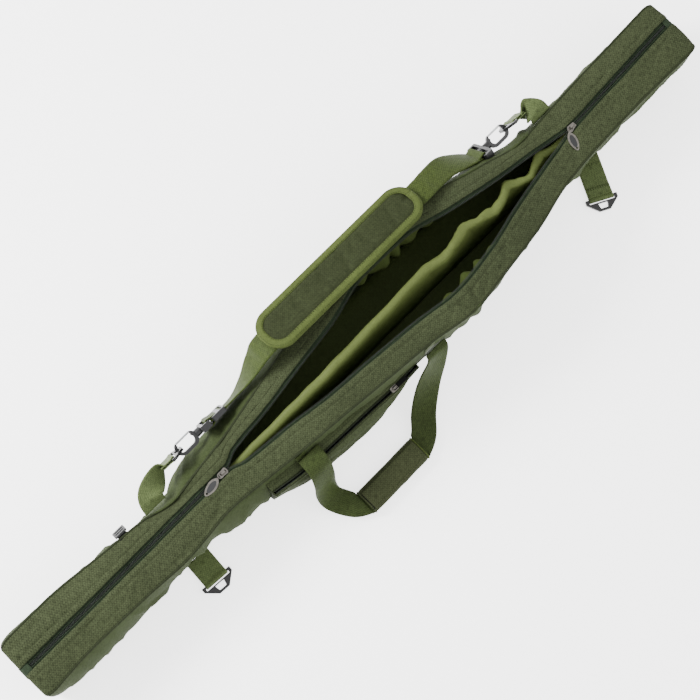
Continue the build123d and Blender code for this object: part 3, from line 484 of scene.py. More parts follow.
# Creases and ridges of the sides: from, to, width, depth.
SIDE_MARKS = {
    -1: [((-512, -55, 90), (-452, -56, 20), 5, 4.5), ((-500, -56, 78), (-430, -56, 30), 4, -2.5),
         ((-400, -48, 98), (-372, -52, 40), 6, 4), ((-352, -54, 96), (-330, -58, 22), 6, 4),
         ((-300, -60, 96), (-318, -62, 30), 5, 4), ((-282, -60, 90), (-262, -63, 30), 6, 3),
         ((120, -90, 146), (150, -88, 60), 7, 5), ((96, -88, 120), (128, -88, 60), 6, 3),
         ((388, -54, 96), (420, -54, 40), 6, 4), ((500, -48, 98), (470, -50, 34), 6, 3.5),
         ((590, -48, 90), (540, -48, 20), 7, 4), ((626, -49, 98), (600, -48, 40), 5, -2.5)],
    1: [((-372, 26, 98), (-340, 48, 40), 6, 4), ((-330, 34, 100), (-300, 56, 50), 6, 3.5),
        ((-262, 50, 96), (-240, 64, 40), 6, 4), ((-470, 40, 92), (-500, 46, 30), 6, 3.5),
        ((208, 76, 120), (240, 78, 40), 7, 4), ((300, 55, 112), (330, 58, 40), 6, 4),
        ((380, 42, 96), (400, 48, 40), 5, 4), ((540, 46, 92), (510, 46, 24), 7, 3)],
}
for side, word in ((1, "left"), (-1, "right")):
    grid = side_grid(side)
    grid = creases(grid, normals(grid) * -side, SIDE_MARKS[side])
    sheet("side_" + word + "_cloth", grid, 2.4, SIDE, "case", ["side_panel_" + word],
          out=-side)


def front_grid(side, xs=LONG, rows=22):
    """Front panel from the seam up to the hem beside the zip."""
    ys, zs = smooth_row(SEAM_Y[side], xs), height_row(SEAM_Z, xs)
    yl, zl = smooth_row(LIP_Y[side], xs) + side * 6.8, height_row(LIP_Z, xs) - 0.4
    width = np.hypot(yl - ys, zl - zs)
    puff = np.minimum(width * 0.055, 3.2)
    grid = sweep(rows, lambda t: (xs, ys + (yl - ys) * t, zs + (zl - zs) * t + puff
                                  * math.sin(math.pi * t)))
    t = np.linspace(0, 1, rows)
    calm = np.sin(math.pi * t) ** 0.5
    seam = np.exp(-t * 5)
    lumps = (1.9 * fuzz(grid, 80, 11 + side) + 1.3 * fuzz(grid, 36, 13 + side, (1.3, 0.7, 1))
             + 0.5 * fuzz(grid, 14, 15 + side))
    lumps = lumps - 1.6 * (1 - np.abs(fuzz(grid, 48, 19 + side, (1.6, 0.8, 1)))) ** 10
    pucker = fuzz(grid, 13, 17 + side, (0.8, 3, 3)) * seam * 1.1
    from_lip = (1 - t[None, :]) * width[:, None]
    hem = 1.0 * np.exp(-((from_lip - 5.0) / 3.4) ** 2)
    groove = -0.9 * np.exp(-((from_lip - 9.6) / 1.2) ** 2)
    grid[..., 2] += lumps * calm * 0.9 + pucker + hem + groove
    return grid


FRONT_MARKS = {
    1: [((-405, 26, 104), (-352, 16, 106), 6, 3.5), ((-366, 20, 103), (-330, 12, 107), 5, 4),
        ((-352, 26, 104), (-300, 24, 106), 5, -2.5), ((235, 60, 140), (300, 46, 130), 6, 2.5),
        ((330, 40, 120), (392, 30, 108), 5, 3.2), ((350, 30, 116), (420, 14, 108), 5, 2.5),
        ((428, 33, 106), (436, 24, 106), 4, 3.2), ((560, 40, 104), (600, 38, 104), 8, 2)],
    -1: [((-478, -17, 106), (-492, -34, 105), 3.2, 3.2), ((-466, -12, 107), (-500, -30, 105), 5, -1.6),
         ((-430, -40, 104), (-395, -44, 104), 5, 2.4), ((-344, -40, 104), (-310, -22, 107), 6, 2.8),
         ((-330, -30, 106), (-300, -36, 105), 5, -1.8), ((122, -90, 152), (112, -68, 156), 4, 5),
         ((128, -90, 152), (142, -66, 156), 5, 3.5), ((125, -92, 150), (168, -76, 150), 6, 3),
         ((96, -88, 152), (40, -78, 150), 6, 1.8), ((250, -74, 138), (205, -52, 150), 7, 2.2),
         ((262, -72, 134), (232, -50, 142), 6, -1.8), ((340, -60, 118), (318, -34, 126), 6, 2.6),
         ((362, -54, 114), (344, -36, 118), 5, -1.6), ((398, -48, 106), (430, -14, 107), 6, 2.2),
         ((560, -44, 104), (530, -30, 106), 8, 2.2), ((610, -46, 103), (585, -30, 105), 6, -1.6)],
}
front = {}
for side, word in ((1, "left"), (-1, "right")):
    grid = front_grid(side)
    front[side] = creases(grid, np.array([0, 0, 1.0]), FRONT_MARKS[side])
    sheet("front_" + word + "_cloth", front[side], 2.2, FRONT, "case",
          ["front_panel_" + word], out=side)
    path = front[side][:, 0] + np.array([0, side * 1.4, 0.9])
    path[:, 2] += 0.35 * np.array([noise.noise(Vector((p[0] / 18, side, 0))) for p in path])
    tube("piping_" + word, path, 2.0, PIPING, "case", ["seam_piping_" + word])

xs = np.linspace(-HALF, HALF, 168)
left, right = smooth_row(BASE_Y[1], xs) - 6.6, smooth_row(BASE_Y[-1], xs) + 6.6
back = sweep(12, lambda t: (xs, left + (right - left) * t, 2.6))
back[..., 2] += 0.5 * fuzz(back, 50, 21)
sheet("back_cloth", back, 2.2, SIDE, "case", ["back_panel"])

# The lining hangs loose inside the walls, gathered along the zip.
for side, word in ((1, "left"), (-1, "right")):
    xs = np.linspace(-560, 560, 220)
    wall = side_grid(side, xs, 20)
    wall[..., 1] -= side * 6.5
    wall[..., 2] = np.clip(wall[..., 2] - 5, 4, None)
    wall[..., 1] += side * (2.2 * fuzz(wall, 26, 30 + side, (0.5, 1, 2.2)) - 1.5)
    sheet("lining_" + word, wall, 0.8, LINING, "case", out=-side)
    xs = np.linspace(-262, 412, 320)
    lip, top = smooth_row(LIP_Y[side], xs), height_row(LIP_Z, xs)
    bunch = np.clip(1 - np.abs(xs - (95 if side > 0 else 150)) / 95, 0, 1) ** 0.7
    frill = sweep(10, lambda t: (xs, lip + side * (4 + 9 * t), top - 5.5 - 52 * t))
    gather = 0.5 + 0.5 * np.sin(frill[..., 0] / 5.2 + 5 * fuzz(frill, 55, 33 + side))
    t = np.linspace(0, 1, 10)[None, :]
    swing = np.sin(math.pi * np.clip(t * 1.1, 0, 1)) ** 1.3
    frill[..., 1] -= side * (gather * 12 + 6) * bunch[:, None] * swing
    frill[..., 1] -= side * 3.0 * fuzz(frill, 24, 34 + side, (0.5, 1, 2)) * t
    sheet("lining_frill_" + word, frill, 0.6, FRILL, "case", out=side)
floor_cloth = back[20:-20].copy()
floor_cloth[..., 2] += 3.4 + 0.8 * fuzz(floor_cloth, 30, 35)
floor_cloth[..., 1] *= 0.9
sheet("lining_floor", floor_cloth, 0.8, LINING, "case")

# End panels: pillowed, with the outline's corners rounded.
for end, word in ((-1, "butt"), (1, "tip")):
    x = end * (HALF - 3.5)
    k = 0 if end < 0 else -1
    draw = 0.87
    rim = [(draw * SEAM_Y[1][k], 97), (draw * BULGE_Y[1][k], 60), (draw * BULGE_Y[1][k], 40),
           (draw * BASE_Y[1][k] - 4, 3), (draw * BASE_Y[-1][k] + 4, 3), (draw * BULGE_Y[-1][k], 40),
           (draw * BULGE_Y[-1][k], 60), (draw * SEAM_Y[-1][k], 97), (LIP_Y[1][k], 99)]
    centre = np.array([sum(p[0] for p in rim) / len(rim), 54.0])
    loop = catmull(rim + [rim[0]], 8)[:-1]
    loop = np.concatenate([loop, loop[:1]])
    rings = np.linspace(1, 0.02, 14)
    grid = np.zeros((len(loop), len(rings), 3))
    for j, r in enumerate(rings):
        flat = centre + (loop - centre) * r
        swell = 3.0 * (1 - r**4)
        grid[:, j] = column(x + end * swell, flat[:, 0], flat[:, 1])
    grid[..., 0] += end * 1.2 * fuzz(grid, 32, 36 + end) * (1 - rings[None, :] ** 3)
    sheet("end_" + word + "_cloth", grid, 1.6, SIDE, "case", ["end_panel_" + word], out=-end)
    path = column(end * (HALF - 0.6), loop[:, 0], loop[:, 1])
    tube("end_piping_" + word, path, 1.4, PIPING, "case", up=(1, 0, 0))

# ---------------------------------------------------------------- main zip
for side, word in ((1, "left"), (-1, "right")):
    xs = np.linspace(-HALF, HALF, 400)
    lip, top = smooth_row(LIP_Y[side], xs), height_row(LIP_Z, xs)
    tape = sweep(8, lambda t: (xs, lip + side * (2.9 + 8.6 * t),
                               top - 1.9 + 0.5 * math.sin(math.pi * t) - t))
    tape[..., 2] += 0.25 * fuzz(tape, 22, 40 + side)
    sheet("zip_tape_" + word + "_cloth", tape, 0.9, TAPE, "case", ["zip_tape_" + word],
          out=side)
    cord = column(xs, lip + side * 3.5, top - 1.5)
    tube("zip_cord_" + word, cord, 0.8, TAPE, "case", sides=6)
    pitch, per = 2.2, 6
    turns = int(2 * (HALF - 3) / pitch)
    a = np.arange(turns * per) / per * 2 * math.pi
    cx = -HALF + 3 + np.arange(turns * per) / per * pitch + (0.5 * pitch if side > 0 else 0)
    closed = np.abs(smooth_row(LIP_Y[1], cx) - smooth_row(LIP_Y[-1], cx)) < 0.5
    # Where the zip is closed, the two coils reach past the middle into each other.
    cy = smooth_row(LIP_Y[side], cx) + side * (1.45 - 1.45 * np.cos(a)) - side * 0.55 * closed
    cz = height_row(LIP_Z, cx) - 2.3 + 1.0 * np.sin(a)
    tube("zip_coil_" + word + "_wire", column(cx, cy + side * 0.3, cz), 0.42, COIL, "case",
         ["zip_coil_" + word], sides=4)
rows = []
for side in (1, -1):
    for step, drop in ((-3, 0.2), (-6, 0.25)):
        rows.append((front[side][:, step] + np.array([0, 0, drop]), (0, 0, 1)))
stitches("zip_stitching", rows, "case", THREAD, 2.8, 1.5, 0.5, 0.3)

for end, word in ((-1, "butt"), (1, "tip")):
    y = smooth_row(LIP_Y[1], [end * HALF])[0]
    profile = [(-12, 105.6), (-8, 105.4), (-4, 104.4), (-1, 102.6), (1.0, 99.5), (2.6, 94), (3.6, 84),
               (4.0, 73)]
    line = catmull(profile, 5)
    grid = np.zeros((len(line), 9, 3))
    for j, t in enumerate(np.linspace(-1, 1, 9)):
        grid[:, j] = column(end * (HALF + line[:, 0]), y + 9.2 * t, line[:, 1] - 0.5 * t * t)
    grid = grid + normals(grid) * (0.35 * fuzz(grid, 12, 45 + end))[..., None]
    sheet("zip_end_" + word, grid, 1.1, TAPE, "case", ["zip_end_tabs"], out=-end)

# ---------------------------------------------------------------- divider
xs = np.linspace(-560, 560, 300)
top = height_row(LIP_Z, xs) - 11
open_part = np.clip((xs + 290) / 60, 0, 1) * np.clip((430 - xs) / 60, 0, 1)
toward_tip = np.clip((xs - 60) / 120, 0, 1)


def zigzag(values, seed):
    """Folds with sharp edges and flat faces between them, from -1 to 1."""
    turns = values + 0.35 * np.sin(values * 0.7 + seed)
    return 2 * np.abs((turns % 2) - 1) - 1


sway = 1.4 * np.sin(xs / 62.0) + 7.0 * toward_tip * zigzag(xs / 48.0, 1.2) + 0.6 * zigzag(xs / 29.0, 3.0)
flop = open_part * sway
lean = open_part * toward_tip * (2.0 + 3.4 * zigzag(xs / 31.0, 0.4))
outline = [(-19, 5), (-18, 30), (-16.5, 55), (-14.5, 78), (-12.4, 92), (-11.2, 98), (-10.2, 101),
           (-7.6, 102.8), (-4, 103.4), (-1.0, 102.8), (0.4, 100), (0.0, 95), (-1, 88), (-2, 78), (-5, 55),
           (-8, 30), (-9, 5)]
grid = np.zeros((len(xs), len(outline), 3))
for j, (y, z) in enumerate(outline):
    share = z / 103.6
    tip_over = np.clip((z - 80) / 24, 0, 1) * (1 if y > -8 else 0.2)
    up = 5 + (top - 5) * share - 0.5 * np.abs(lean) * tip_over
    grid[:, j] = column(xs, y + flop * share**3 + lean * tip_over, up)
pinch = 1 - np.abs(fuzz(grid, 30, 52, (1.4, 0.5, 1.2)))
rumple = 0.8 * fuzz(grid, 60, 50, (1.6, 0.6, 1.6)) + 0.4 * fuzz(grid, 22, 51, (0.9, 0.6, 2))
rumple = rumple - 1.6 * pinch**14 * (0.3 + toward_tip[:, None])
grid = grid + normals(grid) * rumple[..., None]
sheet("divider_cloth", grid[:, ::-1], 1.2, LIME, "case",
      ["divider_pad", "divider_binding"], out=1)

# ---------------------------------------------------------------- ties inside
for side, word in ((1, "left"), (-1, "right")):
    for n, x0 in enumerate((-130, 114)):
        z = np.linspace(24, height_row(SEAM_Z, [x0])[0] - 16, 9)
        wall = wall_at(side, x0, 40)
        cuts = []
        for h in z:
            k = int(np.argmin(np.abs(wall[:, 2] - h)))
            cuts.append(((x0 + 2 * math.sin(h / 14), wall[k, 1] - side * 9.0, h), (1, 0, 0)))
        ribbon(f"rod_tie_{word}_{n + 1}", cuts, 19, 1.4, ELASTIC, "case",
               ["rod_tie_" + word], per=4, ripple=0.8, seed=60 + n)

# ---------------------------------------------------------------- pocket
POCKET_X = [-258, -195, -75, -20, 18]
POCKET_OUT = [-74, -92, -101, -97, -88]
POCKET_MOUTH = [-71, -80, -85.5, -88, -86.5]
xs = np.linspace(-258, 18, 110)
out_y, mouth = smooth_row(POCKET_OUT, xs, POCKET_X), smooth_row(POCKET_MOUTH, xs, POCKET_X)
walls = [wall_at(-1, x, 26) for x in xs]
foot = np.array([wall[22, 1] for wall in walls]) - 1.0
steps = [(0, 0, 10), (0.5, 0, 15), (0.92, 0, 24), (1.0, 0, 38), (1.0, 0, 54), (0.99, 0, 68),
         (0.8, 0.25, 78), (0.0, 1.0, 92), (0, 1.0, 95)]
columns = []
for share, at_mouth, z in steps:
    lip_y = mouth - 4.4
    y = foot + (out_y - foot) * share if at_mouth == 0 else out_y + (lip_y - out_y) * at_mouth
    columns.append(column(xs, y, z))
profile = np.stack(columns, axis=1)
grid = np.stack([catmull(profile[i], 4) for i in range(len(xs))])
edge = np.clip((xs + 258) / 16, 0, 1) * np.clip((18 - xs) / 16, 0, 1)
calm = np.sin(np.linspace(0.08, math.pi - 0.08, grid.shape[1])) ** 0.5 * edge[:, None]
face = normals(grid)
face *= np.sign(-face[..., 1:2] + 1e-6)
lumps = 1.8 * fuzz(grid, 60, 70) + 1.1 * fuzz(grid, 28, 71, (1, 1, 1.6)) + 0.4 * fuzz(grid, 12, 72)
grid = grid + face * (calm * lumps)[..., None]
grid = creases(grid, face, [((-240, -84, 84), (-120, -97, 68), 6, 3.2),
                            ((-120, -97, 68), (0, -92, 84), 6, 3.0),
                            ((-150, -98, 58), (-60, -100, 62), 8, -2.0),
                            ((-90, -100, 80), (-30, -97, 72), 5, -1.5),
                            ((-225, -86, 40), (-190, -93, 66), 6, 2.5),
                            ((-20, -97, 40), (4, -92, 66), 6, 2.5)])
sheet("pocket_front_cloth", grid, 2.0, POCKET, "case", ["pocket_front"], out=1)
for x, word in ((-257, "butt"), (17, "tip")):
    k = 0 if x < 0 else -1
    rim = grid[k]
    inner_y = wall_y(wall_at(-1, x, 26), rim[:, 2]) - 0.6
    way = 1 if x > 0 else -1
    patch = sweep(6, lambda t: (float(x), rim[:, 1] + (inner_y - rim[:, 1]) * t, rim[:, 2]))
    crown = np.outer(np.sin(np.linspace(0, math.pi, len(rim))), np.sin(np.linspace(0, math.pi, 6)))
    patch[..., 0] += way * 1.6 * crown
    material = PIPING if x < 0 else POCKET
    sheet("pocket_end_" + word, patch, 1.6, material, "case", ["pocket_ends"], out=way)
root = np.array([wall_y(wall, 103) for wall in walls]) - 0.8
flap = sweep(8, lambda t: (xs, root + (mouth + 4.2 - root) * t,
                           103 - 6.4 * t + 1.6 * math.sin(math.pi * t)))
flap[..., 2] += 0.7 * fuzz(flap, 26, 75)
sheet("pocket_top_cloth", flap, 1.8, POCKET, "case", ["pocket_top"], out=-1)
for side, word in ((-1, "out"), (1, "in")):
    pitch, per = 2.0, 5
    turns = int(268 / pitch)
    a = np.arange(turns * per) / per * 2 * math.pi
    cx = -255 + np.arange(turns * per) / per * pitch
    edge_y = smooth_row(POCKET_MOUTH, cx, POCKET_X) + side * 1.7
    wire = column(cx, edge_y + 0.7 * np.cos(a), 95.0 + 0.7 * np.sin(a))
    tube("pocket_coil_" + word, wire, 0.34, COIL, "case", ["pocket_zip"], sides=4)
for side, word in ((-1, "out"), (1, "in")):
    strip = sweep(5, lambda t: (xs, mouth + side * (2.0 + 3.4 * t), 95.2 - 0.4 * t))
    strip[..., 2] += 0.25 * fuzz(strip, 14, 77 + side)
    sheet("pocket_tape_" + word, strip, 0.7, PIPING, "case", out=side)
rows = [(grid[:, -5] + face[:, -5] * 0.3, face[:, -5]), (flap[:, 4] + np.array([0, 0, 0.3]), (0, 0, 1))]
stitches("pocket_stitching", rows, "case", THREAD)

# ---------------------------------------------------------------- webbing of the handle
GRIP_Y, GRIP_Z = -172, 11     # the grip's middle line, as the handle lies on the ground
HANDLE_WIDE = 38
butt_leg = [((-185, -65.5, 108), (1, 0, 0)), ((-187, -90, 105), (1, 0, 0)), ((-192, -107, 82), (1, 0, 0)),
            ((-197, -118, 42), (1, 0, 0)), ((-196, -133, 15), (0.97, 0.2, 0)),
            ((-183, -158, 12), (0.69, 0.72, 0)), ((-168, -172, 11), (0, 1, 0))]
tip_leg = [((-50, -172, 11), (0, 1, 0)), ((-32, -161, 14), (-0.66, 0.75, 0)),
           ((-12, -140, 22), (-0.77, 0.63, 0)), ((14, -119, 50), (-0.85, 0.5, 0.15)),
           ((36, -106, 90), (-0.95, 0.3, 0.1)), ((48, -98, 112), (-1, 0.1, 0)),
           ((51, -89, 118), (-1, 0, 0))]
ribbon("handle_leg_butt_cloth", butt_leg, HANDLE_WIDE, 2.0, HANDLE, "carry_handle",
       ["handle_leg_butt"], cup=1.2, ripple=0.8, seed=80)
ribbon("handle_leg_tip_cloth", tip_leg, HANDLE_WIDE, 2.0, HANDLE, "carry_handle",
       ["handle_leg_tip"], cup=-1.2, ripple=0.8, seed=81)
middle = [((x, GRIP_Y, GRIP_Z), (0, 1, 0)) for x in (-170, -109, -48)]
ribbon("handle_middle_cloth", middle, HANDLE_WIDE, 1.8, HANDLE, "carry_handle",
       ["handle_webbing_middle"], ripple=0.1)
for n, (x0, drop) in enumerate(((-185, 13), (51, 30))):
    wall = wall_at(-1, x0, 40)
    high = wall[0, 2] - 4
    cuts = [((x0, wall_y(wall, h) - 1.6, h), (1, 0, 0)) for h in np.linspace(high - drop, high, 5)]
    ribbon(f"handle_anchor_{n + 1}", cuts, HANDLE_WIDE, 1.6, HANDLE, "case", ["handle_anchors"],
           per=4, ripple=0.2)

# ---------------------------------------------------------------- grip wrap
xs = np.linspace(-166, -52, 58)
ring = []
for a in np.linspace(0, 2 * math.pi, 41):
    c, s = math.cos(a), math.sin(a)
    ring.append((math.copysign(abs(c) ** 0.62, c) * 20.4, math.copysign(abs(s) ** 0.75, s) * 8.4))
grid = np.zeros((len(xs), len(ring), 3))
ends = np.minimum(np.clip((xs + 166) / 6, 0, 1), np.clip((-52 - xs) / 6, 0, 1))
for j, (y, z) in enumerate(ring):
    grid[:, j] = column(xs, GRIP_Y + y * (0.95 + 0.05 * ends), GRIP_Z + z * (0.86 + 0.14 * ends))
face = normals(grid)
if (face[..., 2] * (grid[..., 2] - GRIP_Z)).sum() < 0:
    face = -face
bumps = 0.7 * fuzz(grid, 34, 90) + 0.5 * fuzz(grid, 15, 91)
bumps[:, -1] = bumps[:, 0]
grid = grid + face * bumps[..., None]
grid[..., 2] = np.clip(grid[..., 2], 1.6, 19.9)
outward = 1 if (normals(grid)[5, 10] @ face[5, 10]) > 0 else -1
sheet("grip_cloth", grid, 1.6, GRIP, "carry_handle", ["grip_wrap"], out=outward)
for x0, word, material in ((-165.2, "butt", GRIP), (-52.8, "tip", BINDING)):
    path = np.array([(x0, GRIP_Y + y * 0.97, GRIP_Z + z * 0.9) for y, z in ring])
    tube("grip_edge_" + word, path, 1.3, material, "carry_handle", up=(1, 0, 0))
cx = np.linspace(-163, -55, 54)
cover = sweep(14, lambda t: (cx, -157 - 30 * t, 22.2 - 1.6 * t * t + 0.3 * np.sin(cx / 13)))
cover[..., 2] += 0.5 * fuzz(cover, 24, 93)
sheet("grip_flap_cloth", cover, 1.5, GRIP, "grip_closure", ["grip_flap"], out=-1)
fluff = cover[2:-2, 5:-1] - np.array([0, 0, 1.9])
sheet("grip_fastener", fluff, 0.4, LOOPS, "grip_closure", out=-1)
THREADS = 25
ragged = np.zeros((6, THREADS, 3))
reach = [5.0 + 3.2 * noise.noise(Vector((k * 0.9, 4.1, 0))) + rng.uniform(-1.2, 1.2)
         for k in range(THREADS)]
for i, u in enumerate(np.linspace(0, 1, 6)):
    height = 20.6 - 1.8 * u + 0.5 * np.sin(np.arange(THREADS) * 1.3) * u
    ragged[i] = column(-160 - np.array(reach) * u, np.linspace(-159, -187, THREADS), height)
sheet("grip_fringe", ragged, 0.7, LOOPS, "grip_closure", out=1)
path = column(cx, -186.6, cover[:, -1, 2] - 0.2)
tube("grip_flap_hem", path, 0.9, GRIP, "grip_closure", sides=6)
edges = (cover[2:-2, 1], cover[2:-2, -2], cover[2, 1:-1], cover[-3, 1:-1])
rows = [(edge + np.array([0, 0, 0.2]), (0, 0, 1)) for edge in edges]
stitches("grip_stitching", rows, "grip_closure", PALE_THREAD)


# ---------------------------------------------------------------- tabs on the right
TAB_WIDE = 39


def right_tab(word, root, bar):
    """Webbing out to the ring's bar, round it and back under itself. The tip's has a folded, sewn cuff."""
    root, bar = np.array(root, float), np.array(bar, float)
    run = (bar - root) / np.linalg.norm(bar - root)
    wide = np.array([run[1], -run[0], 0])
    long = np.linalg.norm(bar - root)
    profile = [(-2, 0.95), (long * 0.25, 1.3), (long * 0.6, 1.1), (long - 7, 1.3), (long - 3, 2.3),
               (long, 3.05), (long + 2.2, 2.1), (long + 3.05, 0), (long + 2.2, -2.1), (long, -3.05),
               (long - 3, -2.3), (long - 7, -1.3), (long * 0.5, -0.9), (0, -0.9)]
    cuts = [(root + run * s + np.array([0, 0, h]), wide) for s, h in profile]
    grid = ribbon_grid(cuts, TAB_WIDE, 6, 0, 0.25, 100)
    # The sewn edge runs along the case, so the rows nearest to it are slid to end level with it.
    spare = np.linspace(-0.5, 0.5, 13) * TAB_WIDE * wide[1] / run[1]
    for k in range(12):
        for i in (k, len(grid) - 1 - k):
            grid[i] -= run * (spare * (1 - k / 12))[:, None]
    grid = grid + normals(grid) * 0.85
    sheet("tab_right_" + word + "_cloth", grid, 1.7, TAB, "right_tab_" + word,
          ["tab_right_" + word])
    if word == "butt":
        return
    rise = ((0, 2.6), (5, 2.9), (10, 3.1), (15, 4.0))
    cuff = [(root + run * (long - 19 + s) + np.array([0, 0, h]), wide) for s, h in rise]
    ribbon("tab_right_" + word + "_cuff", cuff, 38.6, 1.3, TAB, "right_tab_" + word, per=5,
           ripple=0.2, seed=101)
    rows = []
    for s, height in ((long - 17.4, 3.7), (long - 15.6, 3.7), (4, 2.1), (6, 2.1)):
        middle = root + run * s + np.array([0, 0, height])
        rows.append(([middle + wide * 18, middle - wide * 18], (0, 0, 1)))
    stitches("tab_right_" + word + "_stitching", rows, "right_tab_" + word, THREAD)


right_tab("butt", (-395, -52, 4.4), (-398, -93, 4.4))
right_tab("tip", (454.6, -50, 4.4), (427, -104, 4.4))
for n, x0 in enumerate((-395, 453)):
    wall = wall_at(-1, x0, 40)
    cuts = [((x0, wall_y(wall, h) - 1.4, h), (1, 0, 0)) for h in np.linspace(9, 42, 6)]
    ribbon(f"tab_anchor_{n + 1}", cuts, TAB_WIDE, 1.5, TAB, "case", ["tab_anchors_right"],
           per=4, ripple=0.2)


# ---------------------------------------------------------------- tabs on the left
def left_tab(word, way, root, bar):
    """A webbing loop from the seam that arches out to the ring and doubles round its bar."""
    bar_way = np.array([0, -0.29, 0.957])
    bx, by, bz = bar
    rx, ry, rz = root
    cuts = [((rx, ry - 2, rz - 2), (1, 0, 0)), ((rx + way * 3, ry + 9, rz + 8), (0.95, -way * 0.25, 0)),
            ((rx + way * 13, ry + 18, rz + 8), (0.6, -way * 0.7, -way * 0.35)),
            ((bx - way * 26, by - 2, bz + 3), (0, -way * 0.5, -way * 0.85)),
            ((bx - way * 14, by, bz), tuple(bar_way * -way))]
    ribbon("tab_left_" + word + "_cloth", cuts, 37, 1.8, TAB, "case", ["tab_left_" + word],
           cup=0.6, ripple=0.5, seed=110)
    side = np.cross(bar_way, (way, 0, 0))
    profile = [(-22, 1.9), (-12, 1.7), (-4, 2.0), (0, 3.1), (2.3, 2.1), (3.1, 0), (2.3, -2.1), (0, -3.1),
               (-4, -2.0), (-12, -1.7), (-20, -1.6)]
    fold = [(np.array(bar) + np.array([way * s, 0, 0]) + side * h, bar_way) for s, h in profile]
    ribbon("tab_left_" + word + "_fold", fold, 36.5, 1.5, TAB, "case", per=6, ripple=0.15,
           seed=111)


left_tab("butt", 1, (-387, 36, 103), (-323.5, 67, 99))
left_tab("tip", -1, (420, 43, 104), (380.5, 67, 99))

keeper = [((-447, y, z), (1, 0, 0)) for y, z in ((28, 104.2), (34, 105.2), (39.5, 103.4), (43.5, 99.5))]
ribbon("keeper_strap", keeper, 15, 1.6, ELASTIC, "case", per=5, ripple=0.2, seed=115)

# ---------------------------------------------------------------- shoulder strap
PAD_TILT = math.radians(21)
PAD_CENTRE = np.array([29, 84.5, 163])
pad_across = np.array([0, math.cos(PAD_TILT), -math.sin(PAD_TILT)])
pad_normal = np.array([0, math.sin(PAD_TILT), math.cos(PAD_TILT)])
under = PAD_CENTRE - 7.5 * pad_normal
strap = [((-248.6, 67, 99), (0, 0.25, -0.968)), ((-205, 67, 99), (0, 0.25, -0.968)),
         ((-175, 71, 114), (0, 0.5, -0.87)), ((-148, 78, 135), (0, 0.8, -0.6)),
         ((-124, under[1], under[2]), pad_across), ((-40, under[1], under[2]), pad_across),
         ((60, under[1], under[2]), pad_across), ((182, under[1], under[2]), pad_across),
         ((217, 84, 147), (0, 0.96, -0.28)), ((250, 85, 131), (0, 0.97, -0.25)),
         ((280, 77, 113), (0, 0.86, -0.51)), ((305.6, 67, 99), (0, 0.6, -0.8))]
ribbon("strap_cloth", strap, 40, 2.0, WEBBING, "shoulder_strap", ["strap_webbing"], per=9,
       cup=0.5, ripple=0.5, seed=120)
# The webbing's turn through a strap loop: along the strap, and off its face.
FOLD = [(-26, 2.6), (-14, 3.4), (-6, 4.6), (0, 6.2), (2.9, 5.2), (3.2, 0), (2.9, -5.2), (0, -6.2),
        (-6, -4.6), (-14, -2.4), (-24, -1.6)]
for word, face_x, way, wide in (("butt", -267, -1, (0, 0.25, -0.968)), ("tip", 324, 1, (0, 0.6, -0.8))):
    wide = np.array(wide) / np.linalg.norm(wide)
    off = np.cross(wide, (way, 0, 0))
    inner = np.array([face_x - way * 14.3, 67, 99])
    fold = [(inner + np.array([way * s, 0, 0]) + off * h, wide) for s, h in FOLD]
    ribbon("strap_fold_" + word, fold, 39.4, 1.6, WEBBING, "shoulder_strap", per=5, ripple=0.15,
           seed=121)

# ------------------------------------------------------------ shoulder pad, inflated by a cloth simulation
OUTER = (152.4, 34.4, 30)      # half length, half width and corner of the binding's outer edge
INNER = (140.6, 22.6, 18.2)    # and of its inner edge
MOST_SWELL = 2.6


def pad_frame(x, y, z):
    """A point of the pad, from its middle along, across and up, in the case's frame."""
    return PAD_CENTRE + np.array([x, 0, 0]) + pad_across * y + pad_normal * z


def stadium(half_long, half_wide, radius, n=18):
    """The outline of a rounded rectangle, anticlockwise."""
    loop = []
    for way_x, way_y, start in ((1, 1, 0), (-1, 1, 90), (-1, -1, 180), (1, -1, 270)):
        cx, cy = way_x * (half_long - radius), way_y * (half_wide - radius)
        for k in range(n):
            a = math.radians(start + 90 * k / (n - 1))
            loop.append((cx + radius * math.cos(a), cy + radius * math.sin(a)))
    return np.array(loop)


def pad_form():
    """The pad's cover before it swells: a low closed form with a rounded edge."""
    points, faces = [], []
    layers = [(0.985, -3.6), (1.0, -1.8), (1.0, 1.8), (0.985, 3.6)]
    loop = stadium(147, 29, 24)
    for scale, z in layers:
        for x, y in loop:
            points.append(pad_frame(x * scale, y * scale, z))
    n = len(loop)
    for k in range(len(layers) - 1):
        for s in range(n):
            faces.append((k * n + s, k * n + (s + 1) % n, (k + 1) * n + (s + 1) % n, (k + 1) * n + s))
    faces.append(tuple(range(n)))
    faces.append(tuple(range((len(layers) - 1) * n, len(layers) * n)))
    mesh = bpy.data.meshes.new("shoulder_pad")
    mesh.from_pydata((np.array(points) * MM).tolist(), [], faces)
    piece = bpy.data.objects.new("shoulder_pad", mesh)
    bpy.context.scene.collection.objects.link(piece)
    return piece


def apply_modifiers(piece):
    """Bakes the piece's modifiers into its mesh."""
    bpy.context.view_layer.update()
    shown = piece.evaluated_get(bpy.context.evaluated_depsgraph_get())
    mesh = bpy.data.meshes.new_from_object(shown)
    piece.modifiers.clear()
    piece.data = mesh


